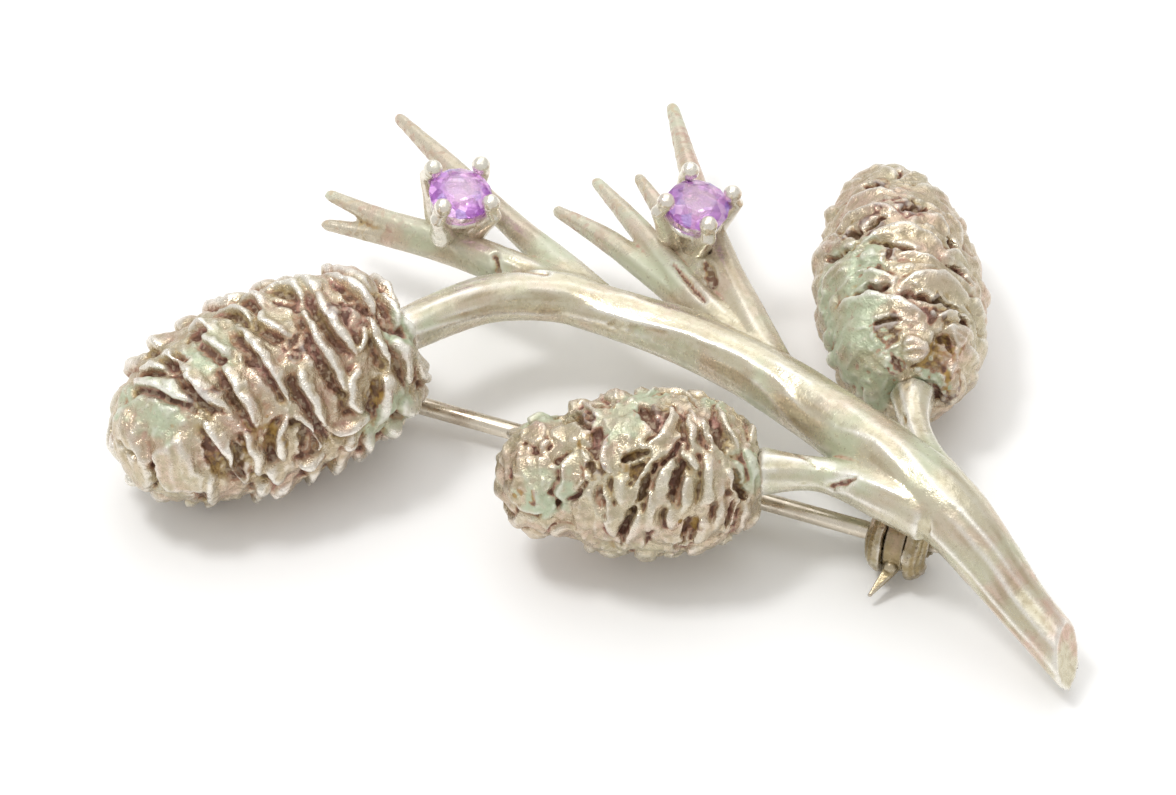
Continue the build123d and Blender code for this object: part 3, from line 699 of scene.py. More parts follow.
def line_of(net, mark, stretch=1.0):
    """Middle, half length, slant and bow of a lip or slit, from its marked ends and middle."""
    start, end, middle = (place_of(net, *mark[k:k + 2]) for k in (0, 2, 4))
    if half_turned(end[1] - start[1]) < 0:
        start, end = end, start
    along, turn = (start[0] + end[0]) / 2, start[1] + half_turned(end[1] - start[1]) / 2
    girth = np.interp(along, net.even, net.radius)
    run, rise = radians(half_turned(end[1] - start[1])) * girth, end[0] - start[0]
    slant = atan2(rise, run)
    off_along, off_round = middle[0] - along, radians(half_turned(middle[1] - turn)) * girth
    bow = off_along * cos(slant) - off_round * sin(slant)
    half_length = stretch * max(hypot(run, rise) / 2, SHORTEST_HALF)
    return neat(along), neat(turn % 360, 0), neat(half_length), neat(degrees(slant), 0), neat(bow)


def own_forms(cone):
    """A cone's own lips, slits and domes, worked out from their marks."""
    net, style = mark_net(cone), cone.style
    lips = [Lip(*line_of(net, mark), neat(mark[6] / PIXELS_PER_MM, 2), mark[7])
            for mark in LIP_MARKS[cone.name]]
    slits = [Slit(*line_of(net, mark, style.slit_stretch), neat(mark[6] / PIXELS_PER_MM, 2),
                  neat(mark[7] * style.slit_share, 2)) for mark in SLIT_MARKS[cone.name]]
    domes = []
    for across, down, half_along, half_round, top, rim in DOME_MARKS[cone.name]:
        along, turn = place_of(net, across, down)
        domes.append(Dome(neat(along), neat(turn, 0), neat(half_along / PIXELS_PER_MM),
                          neat(half_round / PIXELS_PER_MM), top, rim))
    return OwnForms(lips, slits, domes)


def line_measure(line, girth, along, turn):
    """How far along a lip or slit points lie, as a share, and how far off it towards the tip."""
    off = along - line.along
    round_off = wrapped(turn - radians(line.turn)) * girth
    lean = radians(line.slant)
    run = (round_off * cos(lean) + off * sin(lean)) / line.half_length
    return run, off * cos(lean) - round_off * sin(lean) - line.bow * (1 - run ** 2)


def lip_lift(lip, recess, girth, along, turn):
    """How far a lip stands over the recess: steep towards the tip, and falling away behind."""
    run, gap = line_measure(lip, girth, along, turn)
    end = np.sqrt(np.clip(1 - run ** 2, 0, 1))
    half = LIP_FULLNESS * lip.width / 2 * (LIP_END_WIDTH + (1 - LIP_END_WIDTH) * end)
    front = np.sqrt(np.clip(1 - (gap / half) ** 2, 0, 1))
    back = np.sqrt(np.clip(1 - (gap / (BACK_SHARE * half)) ** 2, 0, 1))
    plate = lip.plate * end * np.clip(1 + gap / (lip.width + PLATE_REACH), 0, 1) ** 0.6
    rise = recess + 0.26 * min(lip.width, 1.0) - 0.10
    return rise * end ** 0.7 * np.where(gap >= 0, front, np.maximum(back, plate))


def lip_marks(lip, girth, reach, along, turn):
    """A lip's crest line and the hollow in front of it, each from 0 to 1."""
    run, gap = line_measure(lip, girth, along, turn)
    end = np.sqrt(np.clip(1 - run ** 2, 0, 1))
    half = LIP_FULLNESS * lip.width / 2 * (LIP_END_WIDTH + (1 - LIP_END_WIDTH) * end)
    crest = end ** 0.5 * np.exp(-((gap - 0.1 * half) / (0.42 * half)) ** 2)
    under = smoothstep(0.55, 1.0, gap / half) * (1 - smoothstep(0.3 * reach, reach, gap - half))
    return crest, under * (1 - smoothstep(0.75, 1.1, np.abs(run)))


def crowded(lip, placed, even, radius):
    """True where a lip would run into something listed."""
    girth = max(np.interp(lip.along, even, radius), 0.5)
    for share in (-0.8, 0.0, 0.8):
        reach = share * lip.half_length
        along = lip.along + reach * sin(radians(lip.slant))
        turn = radians(lip.turn) + reach * cos(radians(lip.slant)) / girth
        for other in placed:
            there = max(np.interp(other.along, even, radius), 0.5)
            if isinstance(other, Dome):
                off = hypot((along - other.along) / other.half_along,
                            wrapped(turn - radians(other.turn)) * there / other.half_round)
                if off < 1.2:
                    return True
                continue
            run, gap = line_measure(other, there, along, turn)
            if abs(run) < 1.1 and abs(gap) < 0.5 * other.width + 0.45:
                return True
    return False


def filler_lips(cone, shape, rng):
    """Staggered rows of lips, none quite like its neighbour, wherever nothing listed lies."""
    even, _, radius, _, _ = shape
    style = cone.style
    own = OWN[cone.name]
    placed = own.lips + own.slits + own.domes
    pitch = (even[-1] - ENDS_LEFT) / cone.rows
    made = []
    for row in range(cone.rows):
        level = FIRST_ROW + (row + 0.5) * pitch
        girth = max(np.interp(level, even, radius), 0.5)
        count = max(3, round(tau * girth / (style.lip_length * LIP_SPACING)))
        for k in range(count):
            lip = Lip(level + rng.uniform(-0.25, 0.25) * pitch,
                      degrees(tau * (k + 0.5 * (row % 2) + rng.uniform(-0.2, 0.2)) / count),
                      min(style.lip_length / 2, pi * girth / count * 1.35) * rng.uniform(0.7, 1.15),
                      style.slant + rng.uniform(-14, 14), rng.uniform(-0.2, 0.5),
                      style.lip_width * rng.uniform(0.65, 1.5), style.plate * rng.uniform(0.4, 1.6))
            if crowded(lip, placed, even, radius):
                lip = lip._replace(half_length=0.42 * lip.half_length)
            if not crowded(lip, placed, even, radius):
                made.append(lip)
    return made


def domed(cone, shape, lift, along, turn, lump, crumb):
    """The lift with the cone's own bosses and rimmed plates worked in."""
    even, _, radius, _, _ = shape
    for dome in OWN[cone.name].domes:
        girth = max(np.interp(dome.along, even, radius), 0.5)
        off_along = (along - dome.along) / dome.half_along
        off_round = wrapped(turn - radians(dome.turn)) * girth / dome.half_round
        corner = (np.abs(off_along) ** 2.6 + np.abs(off_round) ** 2.6) ** (1 / 2.6)
        off = corner + 0.34 * lump + 0.10 * crumb
        share = 1 - smoothstep(0.72, 1.12, off)
        rim = dome.rim * np.exp(-((off - 0.82) / 0.16) ** 2) * np.clip(0.6 + lump, 0, 1)
        crown = max(dome.top, 0.10) * np.clip(off, 0, 1) ** 2
        lift = lift + share * (dome.top - crown + 0.12 * lump + 0.05 * crumb - lift) + rim
    return lift


def inside_slit(shape, slit, along, turn, crumb, grit):
    """How far points lie inside a slit, from 0 to 1."""
    even, _, radius, _, _ = shape
    girth = max(np.interp(slit.along, even, radius), 0.5)
    run, gap = line_measure(slit, girth, along, turn)
    taper = np.clip(1 - run ** 2, 0, 1)
    ragged = gap + 0.13 * crumb + 0.10 * grit
    share = 1 - smoothstep(0.45, 1.10, np.abs(ragged) / (slit.width / 2 * (0.12 + 0.95 * taper) + 0.04))
    return share * (1 - smoothstep(0.92, 1.08, np.abs(run)))


def slitted(cone, shape, lift, along, turn, crumb, grit):
    """The lift with the cone's own slits and hollows cut in."""
    for slit in OWN[cone.name].slits:
        share = inside_slit(shape, slit, along, turn, crumb, grit)
        lift = lift + share * np.minimum(-slit.depth - lift, 0)
    return lift


def swayed(cone, shape, along, turn):
    """Places on a cone shifted unevenly, and the noises that roughen its skin."""
    flat = on_cone(cone, shape, along, turn, np.zeros_like(along)).reshape(-1, 3)
    crumb, lump, grit, sway = (clouds(flat, size, cone.seed + k).reshape(along.shape)
                               for k, size in enumerate(SKIN_NOISES))
    girth = np.maximum(np.interp(along, shape[0], shape[2]), 1.0)
    bent_along = along + 0.15 * sway + 0.06 * crumb + 0.05 * grit
    return bent_along, turn + (0.20 * lump + 0.07 * crumb) / girth, crumb, lump, grit


def lip_marks_of(cone, shape, lips, along, turn):
    """Crest lines of all lips, and the hollows in front of them."""
    crest, under = np.zeros_like(along), np.zeros_like(along)
    for lip in lips:
        girth = max(np.interp(lip.along, shape[0], shape[2]), 0.5)
        own_crest, own_under = lip_marks(lip, girth, cone.style.dig_reach, along, turn)
        crest, under = np.maximum(crest, own_crest), np.maximum(under, own_under)
    return crest, under


def wrinkles(cone, shape, along, turn):
    """Fine creases that run round a cone, as its lips do."""
    girth = np.interp(along, shape[0], shape[2])
    level = along - np.tan(radians(cone.style.slant)) * CREASE_LENGTH * np.sin(turn)
    across, above = girth * np.cos(turn) / CREASE_LENGTH, girth * np.sin(turn) / CREASE_LENGTH
    coords = np.stack([across, above, level / CREASE_WIDTH], axis=-1).reshape(-1, 3)
    return 1 - 4 * np.abs(clouds(coords, 1.0, cone.seed + 20).reshape(along.shape))


def cone_shell(cone, shape, lips):
    """The cone's skin as rings of points, and the places left bare between its lips."""
    even, _, radius, _, _ = shape
    style = cone.style
    rings = int(even[-1] / cone.cell)
    columns = int(tau * cone.width / 2 / cone.cell)
    along, turn = np.meshgrid(np.linspace(0, even[-1], rings), np.arange(columns) * tau / columns,
                              indexing="ij")
    bent_along, bent_turn, crumb, lump, grit = swayed(cone, shape, along, turn)
    rise = np.zeros_like(along)
    for lip in lips:
        girth = max(np.interp(lip.along, even, radius), 0.5)
        rise = np.maximum(rise, lip_lift(lip, style.recess, girth, bent_along, bent_turn))
    share = np.clip(rise / style.recess, 0, 1)
    _, under = lip_marks_of(cone, shape, lips, bent_along, bent_turn)
    rough = (0.15 * crumb + 0.07 * grit) * (1 - share)
    floor = -style.floor + rough
    lift = np.maximum(rise * (1 + 0.14 * crumb) - style.recess, floor)
    covered = smoothstep(0.0, 0.16, rise - style.recess + style.floor)
    lift = lift - style.dig * under * (1 - covered) + 0.12 * lump
    lift = domed(cone, shape, lift, bent_along, bent_turn, lump, crumb)
    lift = lift + style.crease * wrinkles(cone, shape, bent_along, bent_turn)
    lift = slitted(cone, shape, lift, bent_along, bent_turn, crumb, grit)
    points = on_cone(cone, shape, along + style.lean * share ** 2, turn, lift)
    bare = (lift < -style.floor + 0.05) & (along > 1.5) & (along < even[-1] - 1.5)
    return loop_shell([list(ring) for ring in points]), points[bare]


def circle(middle, across, beside, radius, sides):
    """Points round a circle, from its middle and two unit ways in its plane."""
    return [middle + radius * (across * cos(tau * k / sides) + beside * sin(tau * k / sides))
            for k in range(sides)]


def bead_shell(middle, radius, sides=8):
    """A small cast bead."""
    across, beside, up = np.eye(3)
    loops = []
    for tilt in BEAD_TILTS:
        level = middle + up * radius * sin(radians(tilt))
        loops.append(circle(level, across, beside, radius * cos(radians(tilt)), sides))
    return loop_shell(loops)


def cone_places(cone, shape, verts):
    """Depth under the outline, arc length and angle about the axis of each vertex."""
    even, reach, radius, out_reach, out_radius = shape
    base, axis, side, up = (np.array(v) for v in cone_axes(cone))
    offset = verts - base
    step, across, above = offset @ axis, offset @ side, offset @ up
    out = np.hypot(across, above)
    best = np.full(len(verts), 1e9)
    depth, along = np.zeros(len(verts)), np.zeros(len(verts))
    for k in range(len(reach)):
        gap_step, gap_out = step - reach[k], out - radius[k]
        gap = gap_step ** 2 + gap_out ** 2
        closer = gap < best
        best[closer] = gap[closer]
        depth[closer] = -(gap_step * out_reach[k] + gap_out * out_radius[k])[closer]
        along[closer] = even[k]
    return depth, along, np.arctan2(above, across)


def cone_tarnish(cone, shape, verts, kind):
    """How much of one tarnish each vertex carries, from 0 to 1."""
    total = np.zeros(len(verts))
    edge = 0.7 * clouds(verts, 0.55, cone.seed + 7)
    for along, turn, reach in TARNISH[cone.name][kind]:
        place = on_cone(cone, shape, np.array(along), np.array(radians(turn)), np.array(0.0))
        gap = np.linalg.norm(verts - place, axis=1) + edge
        total = np.maximum(total, 1 - smoothstep(0.70 * reach, 1.15 * reach, gap))
    return total * np.clip(0.85 + 0.6 * clouds(verts, 1.1, cone.seed + 9), 0, 1)


def pine_cone(cone, material):
    """A whole cone: lips, hollows and beads fused, and softened as cast metal is."""
    rng = np.random.default_rng(cone.seed)
    shape = envelope(cone)
    lips = OWN[cone.name].lips + filler_lips(cone, shape, rng)
    skin, bare = cone_shell(cone, shape, lips)
    shells = [skin]
    for place in bare[rng.integers(0, len(bare), CONE_BEADS)]:
        shells.append(bead_shell(place, rng.uniform(0.12, 0.22)))
    verts, quads = fused(shells, cone.cell)
    ends = edge_ends(quads)
    verts = relaxed(verts, ends, 1, 0.4)
    curved, ridge = relief(verts, quads, ends)
    depth, along, turn = cone_places(cone, shape, verts)
    along = along - cone.style.lean * np.clip(1 - depth / cone.style.recess, 0, 1) ** 2
    bent_along, bent_turn, crumb, _, grit = swayed(cone, shape, along, turn)
    # Painted light from the lips: a painted highlight along each crest, and a painted shadow in the hollow in
    # front of each lip.
    crest, under = lip_marks_of(cone, shape, lips, bent_along, bent_turn)
    under = under * smoothstep(0.05, 0.25, depth)
    crest = crest * (1 - smoothstep(0.05, 0.25, depth))
    deep = smoothstep(0.10, 0.70, depth)
    cut = np.zeros(len(verts))
    for slit in OWN[cone.name].slits:
        cut = np.maximum(cut, inside_slit(shape, slit, bent_along, bent_turn, crumb, grit))
    cut = cut * smoothstep(0.15, 0.5, depth)
    brown, ochre = (cone_tarnish(cone, shape, verts, kind) for kind in ("brown", "ochre"))
    grainy = np.clip(0.72 + 1.7 * clouds(verts, 0.30, cone.seed + 8), 0.1, 1.0)
    settled = np.maximum(1.35 * brown, 0.95 * ochre) * grainy
    style = cone.style
    # The hollow mask darkens with tarnish that the cone has in its hollows and with painted shade in deep
    # places, creases, slits and the painted shadow in front of each lip; the settled brown and ochre are
    # tarnish alone.
    hollow = style.stain * deep + 0.34 * curved / style.recess + style.dig * under + 0.40 * cut + settled
    normals = corner_normals(verts, quads)
    grain = 0.03 * clouds(verts, 0.7, cone.seed + 12)
    grain = grain + (0.008 + 0.045 * deep) * clouds(verts, 0.30, cone.seed + 13)
    verts = verts + normals * grain[:, None]
    # Crests and ridges are painted near-white, as polished silver and as a painted highlight, less so in deep
    # places.
    polish_and_highlight = np.clip(0.65 * ridge + 0.5 * crest, 0, 1) * (1 - 0.6 * deep) * style.wear
    masks = {"hollow": np.clip(hollow, 0, 1), "ridge": polish_and_highlight,
             "mint": cone_tarnish(cone, shape, verts, "mint"), "ochre": ochre}
    return piece(cone.name, verts, quads, "spray", material, masks)


# Stem, twigs and needles

def smooth_route(route, step=0.35):
    """Even points along a smooth curve through a route, each with its radius."""
    points = smoothed([np.array([*at(row), row.w * STEM_WIDTH / 2]) for row in route], 16)
    steps = lengths_along(points[:, :3])
    even = np.linspace(0, steps[-1], max(4, int(steps[-1] / step)))
    return np.stack([np.interp(even, steps, points[:, k]) for k in range(4)], axis=1)


def route_axes(line):
    """Tangent, side and up at each point of a smooth route."""
    along = np.gradient(line[:, :3], axis=0)
    along /= np.linalg.norm(along, axis=1, keepdims=True)
    side = np.cross(along, [0, 0, 1])
    side /= np.linalg.norm(side, axis=1, keepdims=True)
    return along, side, np.cross(side, along)


def limb_shell(line, blunt=False, sides=18):
    """Round tube along a smooth route, with a blunt rounded end where one is wanted."""
    along, side, up = route_axes(line)
    loops = [circle(row[:3], side[i], up[i], row[3], sides) for i, row in enumerate(line)]
    if blunt:
        tip, radius = line[-1, :3], line[-1, 3]
        for turn in (25, 50, 72):
            middle = tip + along[-1] * radius * sin(radians(turn))
            loops.append(circle(middle, side[-1], up[-1], radius * cos(radians(turn)), sides))
    return loop_shell(loops)


def bark(verts, lines):
    """Lengthwise ridges that follow the nearest limb, the streaks on them, and the share along it."""
    stacked = np.vstack(lines)
    owner = np.concatenate([np.full(len(line), k) for k, line in enumerate(lines)])
    axes = [route_axes(line) for line in lines]
    along = np.vstack([a[0] for a in axes])
    side = np.vstack([a[1] for a in axes])
    up = np.vstack([a[2] for a in axes])
    run = np.concatenate([np.arange(len(line)) * np.linalg.norm(line[1, :3] - line[0, :3]) for line in lines])
    share = np.concatenate([np.linspace(0, 1, len(line)) * (k > 2) for k, line in enumerate(lines)])
    best = np.full(len(verts), 1e9)
    index = np.zeros(len(verts), int)
    for k in range(len(stacked)):
        gap = np.linalg.norm(verts - stacked[k, :3], axis=1) - stacked[k, 3]
        closer = gap < best
        best[closer] = gap[closer]
        index[closer] = k
    offset = verts - stacked[index, :3]
    angle = np.arctan2(np.sum(offset * up[index], axis=1), np.sum(offset * side[index], axis=1))
    length = run[index] + np.sum(offset * along[index], axis=1)
    radius = stacked[index, 3]
    level = length / 7.0 + owner[index] * 13.7
    coords = np.stack([np.cos(angle) * radius, np.sin(angle) * radius, level], axis=1)
    broad = clouds(coords, 0.95, 5)
    streaks = clouds(coords, 0.36, 6)
    fine = clouds(verts, 0.45, 8)
    line_coords = np.stack([length / 5.0, owner[index] * 7.3, np.zeros(len(verts))], axis=1)
    crest = np.zeros(len(verts))
    for place, seed in ((92, 21), (128, 22), (163, 23), (40, 24), (-60, 25)):
        middle = radians(place) + 0.30 * clouds(line_coords, 1.0, seed)
        strength = np.clip(0.55 + 1.2 * clouds(line_coords, 0.8, seed + 10), 0, 1)
        crest = np.maximum(crest, strength * np.exp(-np.abs(wrapped(angle - middle)) * radius / 0.26))
    thick = np.minimum(radius / 1.2, 1.0)
    height = thick * (CREST_HEIGHT * crest - 0.06 * np.abs(broad)) + 0.035 * streaks * thick + 0.012 * fine
    return height, 0.5 + 0.5 * clouds(coords, 0.55, 12), share[index]


def pitted(verts, normals):
    """How deep the pits cut at each vertex, on the upper side alone."""
    depth = np.zeros(len(verts))
    uneven = clouds(verts, 0.5, 31) + 0.6 * clouds(verts, 0.25, 32)
    for pit in PITS:
        start = np.array([pit.x * SPRAY_LENGTH, pit.y * SPRAY_WIDTH]) + SPRAY_OFFSET[:2]
        end = np.array([pit.end_x * SPRAY_LENGTH, pit.end_y * SPRAY_WIDTH]) + SPRAY_OFFSET[:2]
        share = np.clip(((verts[:, :2] - start) @ (end - start)) / ((end - start) @ (end - start)), 0, 1)
        gap = np.linalg.norm(verts[:, :2] - start - share[:, None] * (end - start), axis=1)
        taper = 0.45 + 0.55 * np.sqrt(1 - (2 * share - 1) ** 2)
        gap = gap + 0.09 * uneven
        depth = np.maximum(depth, pit.depth * (1 - smoothstep(0.2, 1.15, gap / (pit.half_width * taper))))
    return depth * (normals[:, 2] > 0.1)


def stem_cut():
    """Middle of the stem's sawn end, the way that its face looks, and the way that the stem runs."""
    before, last = at(MAIN_STEM[1]), at(MAIN_STEM[0])
    share = (CUT_END_REACH + SPRAY_OFFSET.x - before.x) / (last.x - before.x)
    face = direction(CUT_HEADING, CUT_TILT)
    return np.array(before.lerp(last, share)), np.array(face), np.array(last - before)


def sawn(verts, trim):
    """Vertices with all that lies past the sawn face brought back to it."""
    middle, face, run = stem_cut()
    past = np.clip((verts - middle) @ face + trim, 0, None)
    near = np.linalg.norm(verts - middle, axis=1) < 3 * STEM_WIDTH
    return verts - (past * near / (face @ run))[:, None] * run


def spray_limbs(material):
    """Stem, twigs and needles in one skin, webbed where they part."""
    routes = [MAIN_STEM, RIGHT_TWIG, MIDDLE_TWIG] + NEEDLES
    lines = [smooth_route(route) for route in routes]
    shells = [limb_shell(line, blunt=k > 2) for k, line in enumerate(lines)]
    shells[0] = (sawn(np.array(shells[0][0]), 0.0), shells[0][1])
    verts, quads = fused(shells, LIMB_CELL)
    ends = edge_ends(quads)
    verts = relaxed(verts, ends, 8)
    normals = corner_normals(verts, quads)
    height, streak, share = bark(verts, lines)
    pits = pitted(verts, normals)
    verts = sawn(verts + normals * (height + 0.03 - pits)[:, None], 0.03)
    verts = relaxed(verts, ends, 1, 0.35)
    hollow, ridge = relief(verts, quads, ends)
    rosy = 1 - smoothstep(3.0, 12.0, np.linalg.norm(verts - stem_cut()[0], axis=1))
    blush = smoothstep(0.45, 0.95, share) * np.clip(0.5 + clouds(verts, 0.6, 14), 0, 1)
    blush = np.maximum(blush, 0.7 * rosy)
    needle = smoothstep(0.02, 0.35, share)
    tips = smoothstep(0.40, 0.90, share)
    stained = 0.60 * tips * np.clip(0.45 + 1.8 * clouds(verts, 0.30, 15), 0, 1) + 0.30 * rosy
    # Creases and pits are darkened with tarnish and painted shade, together with the stains at the needles'
    # tips and the sawn end; ridges are painted near-white, as polished silver and a painted highlight, less
    # on the needles.
    hollow = np.clip(hollow * 0.75 + 1.9 * pits + stained, 0, 1)
    masks = {"hollow": hollow, "ridge": ridge * (1 - 0.75 * needle), "streak": streak, "blush": blush,
             "needle": needle, "mint": 1 - rosy}
    return piece("stem_and_needles", verts, quads, "spray", material, masks)


# Settings

def lathe_shell(profile, frame, sides=32):
    """A turned shell about a frame's own upright axis, from rows of radius and height."""
    loops = []
    for radius, height in profile:
        ring = [(radius * cos(tau * k / sides), radius * sin(tau * k / sides)) for k in range(sides)]
        loops.append([np.array(frame @ Vector((x, y, height))) for x, y in ring])
    return loop_shell(loops)


def ring_shell(radius, height, wire, frame, steps=40, sides=10):
    """A closed ring of round wire."""
    verts, faces = [], []
    for i in range(steps):
        turn = tau * i / steps
        for k in range(sides):
            lean = tau * k / sides
            out = radius + wire * cos(lean)
            level = height + wire * sin(lean)
            verts.append(np.array(frame @ Vector((out * cos(turn), out * sin(turn), level))))
            beside, after = (k + 1) % sides, (i + 1) % steps
            faces.append([i * sides + k, after * sides + k, after * sides + beside, i * sides + beside])
    return verts, faces


def claw_steps():
    """A claw's wire from the collet's foot, past the girdle, to the ball on the crown."""
    girdle = STONE_WIDTH / 2
    table = girdle * TABLE_SHARE
    slope = hypot(girdle - table, CROWN_HEIGHT)
    hold = girdle * CLAW_HOLD
    inward = girdle - table
    hold_height = STONE_SEAT_HEIGHT + GIRDLE_HEIGHT / 2 + CROWN_HEIGHT * (girdle - hold) / inward
    clear = CLAW_BALL + STONE_GAP
    neck = ClawStep(girdle + STONE_GAP + CLAW_NECK, STONE_SEAT_HEIGHT - 0.1, CLAW_NECK)
    ball = ClawStep(hold + clear * CROWN_HEIGHT / slope, hold_height + clear * inward / slope, CLAW_BALL)
    return CLAW_FOOT + [neck, ball]


def claw_shells(frame, turn):
    """The wire and the ball of one claw."""
    steps = claw_steps()
    loops = []
    for i, step in enumerate(steps[:-1]):
        before, after = steps[max(i - 1, 0)], steps[i + 1]
        lean = np.arctan2(after.out - before.out, after.height - before.height)
        ring = []
        for k in range(CLAW_SIDES):
            across, along = step.thick * sin(tau * k / CLAW_SIDES), step.thick * cos(tau * k / CLAW_SIDES)
            out = step.out + along * cos(lean)
            height = step.height - along * sin(lean)
            ring.append(np.array(frame @ Vector((out * cos(turn) - across * sin(turn),
                                                 out * sin(turn) + across * cos(turn), height))))
        loops.append(ring)
    ball = steps[-1]
    x, y = ball.out * cos(turn), ball.out * sin(turn)
    middle = np.array(frame @ Vector((x, y, ball.height)))
    inner = np.array(frame @ Vector((x, y, ball.height - ball.thick * 0.5)))
    last = np.mean(loops[-1], axis=0)
    loops.append([inner + (point - last) * 0.95 for point in loops[-1]])
    return [loop_shell(loops), bead_shell(middle, ball.thick, 16)]


def setting_frame(place):
    """Where a setting stands, with +Z up its own leaning axis."""
    front = Matrix.Rotation(radians(SETTING_LEAN_FRONT), 4, "X")
    return Matrix.Translation(at(place)) @ front @ Matrix.Rotation(radians(SETTING_LEAN_RIGHT), 4, "Y")


def soldered(name, shells, cell, passes, wear, material, body="spray"):
    """Shells fused, softened, worn a little uneven and kept off the floor."""
    verts, quads = fused(shells, cell)
    ends = edge_ends(quads)
    verts = relaxed(verts, ends, passes)
    normals = corner_normals(verts, quads)
    uneven = sum(height * clouds(verts, size, seed) for height, size, seed in wear)
    verts = verts + normals * np.reshape(uneven, (-1, 1))
    verts[:, 2] = np.maximum(verts[:, 2], 0.0)
    # These masks darken hollows with tarnish and painted shade and lighten ridges with polished silver and a
    # painted highlight.
    hollow, ridge = relief(verts, quads, ends)
    return piece(name, verts, quads, body, material, {"hollow": hollow, "ridge": ridge})


def setting(place, material):
    """An open basket under the stone: a cup, a gallery ring and four ball-tipped claws."""
    frame = setting_frame(place)
    gallery = ring_shell(GALLERY_RADIUS, GALLERY_HEIGHT, GALLERY_WIRE, frame)
    shells = [lathe_shell(COLLET_PROFILE, frame), gallery]
    for k in range(4):
        shells += claw_shells(frame, radians(place.claw_turn + 90 * k))
    return soldered(place.name + "_setting", shells, SETTING_CELL, 3, SETTING_WEAR, material)


# Findings on the back

def pin_ends():
    """Hinge pivot and catch centre."""
    pivot = Vector((HINGE_PLACE[0] * SPRAY_LENGTH, HINGE_PLACE[1] * SPRAY_WIDTH, PIVOT_HEIGHT)) + SPRAY_OFFSET
    catch = Vector((CATCH_PLACE[0] * SPRAY_LENGTH, CATCH_PLACE[1] * SPRAY_WIDTH, CATCH_HEIGHT)) + SPRAY_OFFSET
    return pivot, catch


def axes_frame(origin, along, across):
    """A frame from its origin, its +X and its +Y."""
    up = along.cross(across)
    turn = Matrix((along, across, up)).transposed().to_4x4()
    return Matrix.Translation(origin) @ turn


def hinge_frame():
    """Frame at the pivot: +X level under the pin, +Y along the rivet, +Z up."""
    pivot, catch = pin_ends()
    level = Vector((catch.x - pivot.x, catch.y - pivot.y, 0)).normalized()
    return axes_frame(pivot, level, Vector((0, 0, 1)).cross(level))


def catch_frame():
    """Frame at the catch: +X along the pin, +Y across it, +Z away from the floor."""
    pivot, catch = pin_ends()
    along = (catch - pivot).normalized()
    return axes_frame(catch, along, Vector((0, 0, 1)).cross(along).normalized())


def plate_shell(outline, start, end, frame):
    """A flat plate: an outline across the pin, carried along it from start to end."""
    loops = [[np.array(frame @ Vector((x, y, z))) for y, z in outline] for x in (start, end)]
    return loop_shell(loops)


def arc(radius, low, high, steps=36):
    """Points on an arc between two angles, in degrees from +Y towards +Z."""
    turns = np.radians(np.linspace(low, high, steps))
    return [(radius * cos(turn), radius * sin(turn)) for turn in turns]


def hinge_bracket(material):
    """Two ears that hang from a plate in the big cone's belly."""
    half, inner = KNUCKLE_THICKNESS / 2 + HINGE_GAP + EAR_THICKNESS, KNUCKLE_THICKNESS / 2 + HINGE_GAP
    roof = KNUCKLE_WIDTH / 2 + KNUCKLE_ROOM
    top = roof + BRACKET_PLATE + BRACKET_SINK
    outline = [(-half, -PIVOT_HEIGHT), (-half, top), (half, top), (half, -PIVOT_HEIGHT),
               (inner, -PIVOT_HEIGHT), (inner, roof), (-inner, roof), (-inner, -PIVOT_HEIGHT)]
    shell = plate_shell(outline, -EAR_LENGTH / 2, EAR_LENGTH / 2, hinge_frame())
    return soldered("hinge_bracket", [shell], FINDING_CELL, 4, FINDING_WEAR, material)


def catch_housing(material):
    """Two slotted cheeks joined by a wall over the rotor, with a post up into the stem."""
    frame = catch_frame()
    outer, bore, slot = CHEEK_WIDTH / 2, CHEEK_BORE_WIDTH / 2, PIN_CHANNEL_WIDTH / 2
    room = ROTOR_WIDTH / 2 + ROTOR_ROOM
    gap = ROTOR_THICKNESS / 2 + ROTOR_GAP
    bore_turn = degrees(acos(slot / bore))
    shells = []
    for share, reach in CHEEK_STEPS:
        radius = share * outer
        turn = degrees(acos(slot / radius))
        rim = arc(radius, -turn, 180 + turn) + arc(bore, 180 + bore_turn, -bore_turn)
        shells += [plate_shell(rim, gap, gap + reach, frame), plate_shell(rim, -gap - reach, -gap, frame)]
    wall = arc(outer, WALL_FROM, WALL_TO) + arc(room, WALL_TO, WALL_FROM)
    shells.append(plate_shell(wall, -gap - CHEEK_THICKNESS / 2, gap + CHEEK_THICKNESS / 2, frame))
    foot = (room + outer) / 2
    shells.append(lathe_shell([(POST_WIDTH / 2, foot), (POST_WIDTH / 2, STEM_HEIGHT - CATCH_HEIGHT)], frame))
    return soldered("catch_housing", shells, FINDING_CELL, 12, FINDING_WEAR, material)


